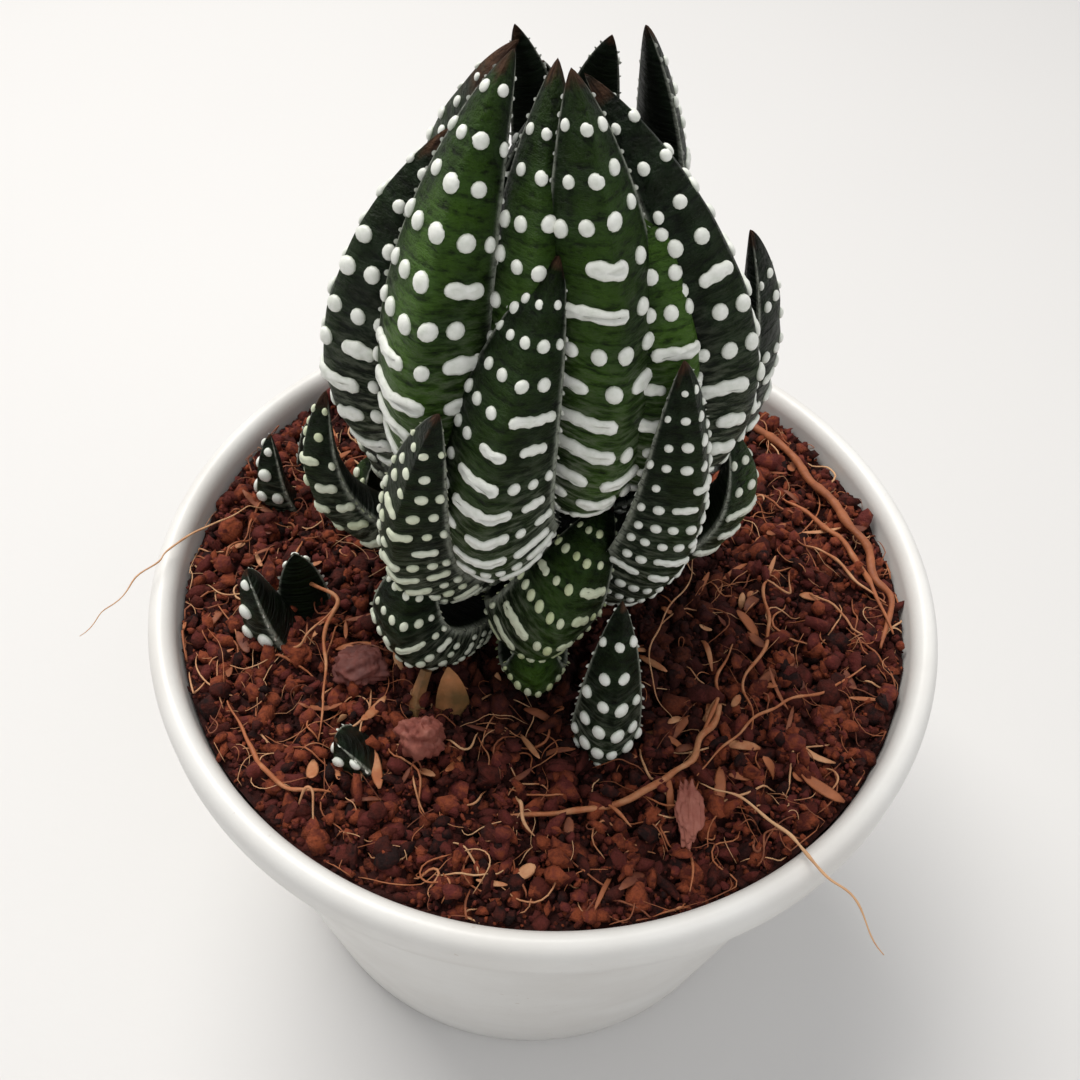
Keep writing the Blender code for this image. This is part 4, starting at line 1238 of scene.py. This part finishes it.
    def build_fibres(self) -> None:
        """Fine loose fibres, more of them near the wall: arcs with a bend, a curl and a low hump."""
        rng = np.random.default_rng(self.seed + 3)
        share = np.linspace(0, 1, 14)[None]
        each = (self.fibres, 1)
        length = rng.uniform(2.5, 13.0, each) * MM
        out = self.radius * rng.uniform(0.12, 1.0, each) ** 0.42 - 0.6 * MM
        x, y = around(out, rng.uniform(0, 2 * np.pi, each))
        heading = rng.uniform(0, 2 * np.pi, each)
        bend = rng.normal(0, 1.5, each)
        curl = rng.normal(0, 0.7, each)
        facing = heading + bend * share + curl * np.sin(share * 2 * np.pi)
        x = x + np.cumsum(np.cos(facing), axis=1) * length / share.size
        y = y + np.cumsum(np.sin(facing), axis=1) * length / share.size
        inside = np.minimum(1.0, (self.radius - 0.4 * MM) / np.hypot(x, y))
        x, y = x * inside, y * inside
        hump = rng.uniform(0.1, 1.4, each) * MM * np.sin(share * np.pi)
        z = self.height(x, y) + 0.6 * self.lumps(x, y) + hump + rng.uniform(-0.5, 0.35, each) * MM
        thick = (0.045 + 0.13 * rng.random(each) ** 2) * MM
        radii = thick * (0.35 + 0.65 * np.sin(np.pi * np.clip(share * 1.02, 0, 1)) ** 0.5)
        points, faces = rods(places(x, y, z), radii, 5)
        tint = tint_of(points.reshape(self.fibres, -1, 3), rng.uniform(0.1, 1.0, each))
        add_piece("coir_fibres_fine", points, faces, self.fibre, "fibre", tint=tint)

    def build_flakes(self) -> None:
        """Flat slivers of husk: a bent rod squashed to a strip, lying at a random slope."""
        rng = np.random.default_rng(self.seed + 4)
        count, steps, sides = self.flakes, 7, 8
        each = (count, 1, 1)
        share = np.linspace(-1, 1, steps)[:, None]
        turn = circle(sides)
        half = rng.uniform(0.8, 3.2, each) * MM
        wide = rng.uniform(0.25, 0.8, each) * MM
        taper = np.sqrt(np.clip(1 - (share * 0.97) ** 2, 0, 1))
        over = 0.18 * wide * taper * np.sin(turn) + rng.normal(0, 0.25, each) * half * share**2
        rings = places(half * share, wide * taper * np.cos(turn), over)
        body = np.concatenate([rings.reshape(count, -1, 3), rings[:, [0, -1]].mean(axis=2)], axis=1)
        yaw = rng.uniform(0, 2 * np.pi, count)
        slope = rng.normal(0, self.flake_slope, count)
        ahead = places(np.cos(yaw) * np.cos(slope), np.sin(yaw) * np.cos(slope), np.sin(slope))
        across = places(-np.sin(yaw), np.cos(yaw))
        axes = np.stack([ahead, across, np.cross(ahead, across)], axis=1)
        out = (self.radius - 3 * MM) * np.sqrt(rng.uniform(0.12, 1.0, count))
        x, y = around(out, rng.uniform(0, 2 * np.pi, count))
        z = self.height(x, y) + rng.uniform(0.2, 1.0, count) * MM
        points = np.einsum("npk,nkj->npj", body, axes) + places(x, y, z)[:, None]
        tint = tint_of(points, rng.uniform(0.0, 0.8, (count, 1)))
        flat, faces = repeat_faces(points, closed_faces(steps, sides))
        add_piece("coir_flakes", flat, faces, self.fibre, "fibre", tint=tint)


@dataclass(frozen=True)
class Strand:
    """A long fibre over the soil.

    Attributes:
        node: The CAD node it stands for, or a name of its own.
        radius: Its thickest radius in millimetres.
        shade: How pale it is, from 0 to 1.
        route: Bearing in degrees, distance from the pot's wall and height over the soil, in millimetres.
        thin_start: Whether it starts thin; it always ends thin.
    """

    node: str
    radius: float
    shade: float
    route: tuple[tuple[float, float, float], ...]
    thin_start: bool = True


STRANDS = (
    Strand("coir_fibre_forked", 0.42, 0.62, ((49, 19, 0.3), (43, 17, 1.2), (31, 15.3, 1.0), (20, 13.5, 0.9),
           (10, 14, 0.9), (2, 12.7, 0.8), (-6, 12.5, 0.3)), thin_start=False),
    Strand("coir_fibre_fork_upper", 0.25, 0.55, ((40, 16.8, 1.0), (44, 18, 1.4), (55, 21, 1.6),
           (69, 21.5, 0.8))),
    Strand("coir_fibre_fork_twig", 0.22, 0.6, ((14, 13.7, 0.9), (16, 12.2, 1.2), (18, 10.2, 0.6))),
    Strand("coir_fibre_pale", 0.2, 1.0, ((34, 12.5, 0.4), (36, 9.6, 2.4), (37.3, 7, 3.1), (37.7, 3.5, 3.6),
           (38, 0, 4.2), (38.6, -4, 4.6), (39, -9, 3.6), (39.2, -14, 0.8))),
    Strand("coir_fibre_left", 0.3, 0.62, ((-95, 14, 0.6), (-85, 14.5, 2.2), (-76, 17.5, 3.4), (-70, 20, 3.6),
           (-65, 17.8, 3.0), (-57, 16.2, 1.8), (-44, 10.4, 0.4))),
    Strand("coir_fibre_left_branch", 0.16, 0.7, ((-70, 20, 3.6), (-65, 16, 3.0), (-64, 14, 1.6),
           (-66, 11.5, 0.6))),
    Strand("coir_fibre_over_rim", 0.13, 0.95, ((-103, 6.5, 0.6), (-97, 4.5, 2.6), (-91, 1.8, 4.0),
           (-86, -1.2, 4.6), (-79, -5.5, 4.4), (-75, -12, 1.6))),
    Strand("coir_fibre_right", 0.25, 0.6, ((97, 17.5, 0.6), (87, 19.2, 1.8), (74, 17.4, 1.2),
           (61, 17.7, 1.2), (49, 13.4, 0.3))),
    Strand("coir_fibre_right_hook", 0.18, 0.7, ((93, 18.4, 1.0), (90, 17, 2.0), (88, 15, 1.6),
           (92, 15.6, 3.2))),
    Strand("coir_fibre_crossing", 0.2, 0.6, ((34, 13, 0.8), (44, 14.8, 1.6), (60, 12.2, 1.6), (68, 7.8, 1.2),
           (75, 4.8, 0.6))),
    Strand("coir_hair", 0.11, 0.85, ((103, 27.9, 6.0), (80, 29, 6.5), (58, 30.8, 5.0), (41, 26.5, 2.4),
           (37, 21, 0.6))),
    Strand("coir_fibre_wall", 0.32, 0.55, ((-58, 4.0, 0.2), (-46, 3.5, 1.0), (-39, 4.1, 1.2),
           (-34, 7.0, 0.2))),
    Strand("coir_fibre_short", 0.25, 0.85, ((-3, 15.3, 0.5), (-1.5, 13.5, 1.8), (-0.5, 12, 1.2),
           (2, 10.5, 0.4))),
    Strand("coir_fibre_loop", 0.2, 0.8, ((-36, 2.8, 0.2), (-36, 4.2, 3.0), (-34.5, 4.4, 3.2),
           (-32, 2.6, 0.4))),
    Strand("coir_husk_wall", 0.6, 0.4, ((139, 4.4, 0.4), (122, 5, 1.0), (108, 4.5, 1.4), (97, 3.1, 1.4),
           (88, 2.4, 1.2), (79, 3.2, 0.2)), thin_start=False),
    Strand("coir_husk_inner", 0.4, 0.5, ((118, 10, 0.2), (110, 8.8, 1.0), (99, 5.7, 1.2), (90, 3.6, 1.2),
           (82, 2, 0.6))),
    Strand("coir_husk_cross", 0.22, 0.7, ((104, 12, 0.6), (98, 9.5, 1.6), (93, 6.0, 1.8), (88, 2.6, 1.6))),
    Strand("coir_flake_tail", 0.14, 0.6, ((26, 7, 1.0), (25, 4, 1.6), (23, 1.4, 1.0))),
)


@dataclass
class Debris:
    """The larger loose things: named strands, and two chips and a flake of husk."""

    # Each lump's CAD node and how pale it is, and each wave's depth, size and pattern.
    LUMPS = (("coir_chip_front", 0.62), ("coir_chip_left", 0.12), ("coir_husk_flake", 0.7))
    WAVES = ((0.14, 1.3, 80), (0.10, 0.55, 90), (0.05, 0.25, 95))

    soil: Soil
    fibre: Material
    chip: Material
    strand_steps: int = 64
    strand_sides: int = 8
    wobble: float = 0.35 * MM
    lump_rows: int = 40
    lump_sides: int = 60

    def build_strands(self) -> None:
        """Each strand as a rod with a slow random wobble, thinner at its ends."""
        share = np.linspace(0, 1, self.strand_steps)
        for index, strand in enumerate(STRANDS):
            bearing, wall, height = (np.array(part) for part in zip(*strand.route))
            route = smooth_route(places(*self.soil.place(bearing, wall), height * MM), self.strand_steps)
            route[:, 2] += self.soil.height(route[:, 0], route[:, 1]) + strand.radius * MM
            shifts = places(*(ripples(route, 7 * MM, 60 + index + 20 * axis) for axis in range(3)))
            route = route + self.wobble * shifts
            taper = np.sin(np.pi * np.maximum(share, 0.0 if strand.thin_start else 0.5))
            knots = 1 + 0.15 * ripples(route, 2.5 * MM, 70 + index)
            radii = strand.radius * MM * (0.3 + 0.7 * taper) * knots
            points, faces = rods(route[None], radii[None], self.strand_sides)
            nodes = (strand.node,) if strand.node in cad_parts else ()
            add_piece(strand.node + "_fine", points, faces, self.fibre, "fibre", nodes,
                      tint_of(points, strand.shade))

    def build_lumps(self) -> None:
        """Rough lumps in the boxes of the CAD chips: an egg pushed in and out by waves of three sizes."""
        egg = ball(self.lump_rows, self.lump_sides)
        for index, (node, shade) in enumerate(self.LUMPS):
            low, high = (np.array(corner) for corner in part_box(node))
            rough = sum(depth * ripples(egg, size, seed + index) for depth, size, seed in self.WAVES)
            points = (low + high) / 2 + egg * (1 + rough[:, None]) * (high - low) / 2
            add_piece(node + "_fine", points, closed_faces(self.lump_rows, self.lump_sides, reverse=True),
                      self.chip, "chip", (node,), tint_of(points, shade))


# ---- Studio --------------------------------------------------------------------------------------


@dataclass
class Studio:
    """Camera, floor and soft light."""

    eye: tuple[float, float, float] = (0.0, -89.55 * MM, 188.63 * MM)
    yaw: float = -0.75
    pitch: float = 50.62
    roll: float = -3.55
    lens: float = 36.1
    film: float = 36.0
    nearest: float = 0.01
    floor_half: float = 3.0
    floor_white: Colour = (0.73, 0.72, 0.70)
    floor_shade: Colour = (0.70, 0.69, 0.675)
    lit_point: tuple[float, float, float] = (0.0, 0.0, 0.09)
    light_size: float = 0.5
    surround: Colour = (0.95, 0.95, 0.97)
    surround_strength: float = 0.52

    def build_camera(self) -> None:
        """A camera that looks down at the plant: yaw about Z, pitch below the horizon, and roll."""
        yaw, pitch, roll = (math.radians(angle) for angle in (self.yaw, self.pitch, self.roll))
        ahead = Vector((math.sin(yaw) * math.cos(pitch), math.cos(yaw) * math.cos(pitch), -math.sin(pitch)))
        right = Vector((math.cos(yaw), -math.sin(yaw), 0.0))
        down = ahead.cross(right)
        turned_right = right * math.cos(roll) + down * math.sin(roll)
        turned_down = down * math.cos(roll) - right * math.sin(roll)
        matrix = Matrix((turned_right, -turned_down, -ahead)).transposed().to_4x4()
        matrix.translation = Vector(self.eye)
        data = bpy.data.cameras.new("camera")
        data.lens = self.lens
        data.sensor_width = self.film
        data.clip_start = self.nearest
        camera = add_object("camera", data)
        camera.matrix_world = matrix
        bpy.context.scene.camera = camera

    def build_floor(self) -> None:
        """A pale floor just under the pot."""
        half = self.floor_half
        mesh = bpy.data.meshes.new("floor")
        corners = [(-half, -half, 0), (half, -half, 0), (half, half, 0), (-half, half, 0)]
        mesh.from_pydata(corners, [], [(0, 1, 2, 3)])
        made = Finish("floor_pale")
        colour = made.mix(made.patches(2.5, 3), self.floor_white, self.floor_shade)
        mesh.materials.append(made.done(colour, 0.6, made.bump(made.noise(300, 2), 0.1 * MM, 0.3)))
        add_object("floor", mesh)

    def add_light(self, name: str, place: tuple[float, float, float], power: float, colour: Colour) -> None:
        """A square soft light that faces the plant."""
        data = bpy.data.lights.new(name, "AREA")
        data.size = self.light_size
        data.energy = power
        data.color = colour
        light = add_object(name, data)
        light.location = place
        toward = Vector(self.lit_point) - Vector(place)
        light.rotation_euler = toward.to_track_quat("-Z", "Y").to_euler()

    def build_light(self) -> None:
        """An even pale surround, a window light from behind on the left, and a weak fill."""
        world = bpy.data.worlds.new("surround")
        world.use_nodes = True
        back = world.node_tree.nodes["Background"]
        back.inputs["Color"].default_value = (*self.surround, 1.0)
        back.inputs["Strength"].default_value = self.surround_strength
        bpy.context.scene.world = world
        bpy.context.scene.view_settings.view_transform = "Standard"
        self.add_light("window", (-0.25, 0.3, 0.8), 6.3, (1.0, 0.98, 0.95))
        self.add_light("fill", (0.4, -0.3, 0.7), 1.0, (0.97, 0.98, 1.0))


# ---- The whole object ----------------------------------------------------------------------------


def dress_kept_nodes() -> None:
    """Dress the stem, the roots and the dried remains, which keep their CAD shapes."""
    stem = StemFinish("stem_flesh", (0.30, 0.33, 0.16), (0.12, 0.10, 0.05)).make()
    root = StemFinish("root_flesh", (0.5, 0.38, 0.22), (0.25, 0.15, 0.08)).make()
    husk = StemFinish("dry_husk", (0.46, 0.19, 0.07), (0.16, 0.09, 0.03)).make()
    finishes = {"stem": stem, "dried_leaf": husk, "dry_stalk": husk}
    for node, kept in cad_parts.items():
        finish = root if node.startswith("root_") else finishes.get(node)
        if finish:
            for slot in kept.material_slots:
                slot.material = finish
            log.info("%s: kept, in %s", node, finish.name)


def main() -> None:
    """Build the studio and every piece in order."""
    logging.basicConfig(level=logging.INFO, format="%(name)s %(levelname)s %(message)s")
    studio = Studio()
    studio.build_camera()
    studio.build_floor()
    studio.build_light()

    pot = Pot(height=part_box("pot")[1].z, rim_radius=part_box("pot")[1].x)
    pot.build()
    soil_top = pot.height - SOIL_DROP
    stem_low, stem_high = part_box("stem")
    axis = ((stem_low.x + stem_high.x) / 2, (stem_low.y + stem_high.y) / 2)
    fibre = FibreFinish().make()
    chip = FibreFinish("coir_chip", (0.10, 0.026, 0.020), (0.24, 0.062, 0.042), (0.42, 0.16, 0.11)).make()
    soil = Soil(pot, soil_top, axis, EarthFinish().make(), fibre)
    soil.build_bed()
    soil.build_crumbs()
    soil.build_fibres()
    soil.build_flakes()
    debris = Debris(soil, fibre, chip)
    debris.build_strands()
    debris.build_lumps()

    skin = LeafFinish().make()
    bead = BeadFinish().make()
    Plant(ROSETTE, np.array([*axis, soil_top]), skin, bead).build()
    for index, (bearing, wall, leaves) in enumerate(OFFSETS):
        place = np.array([*soil.place(bearing, wall), soil_top])
        Plant(leaves, place, skin, bead, seed=20 + index, along=60).build()
    dress_kept_nodes()


if __name__ == "__main__":
    main()
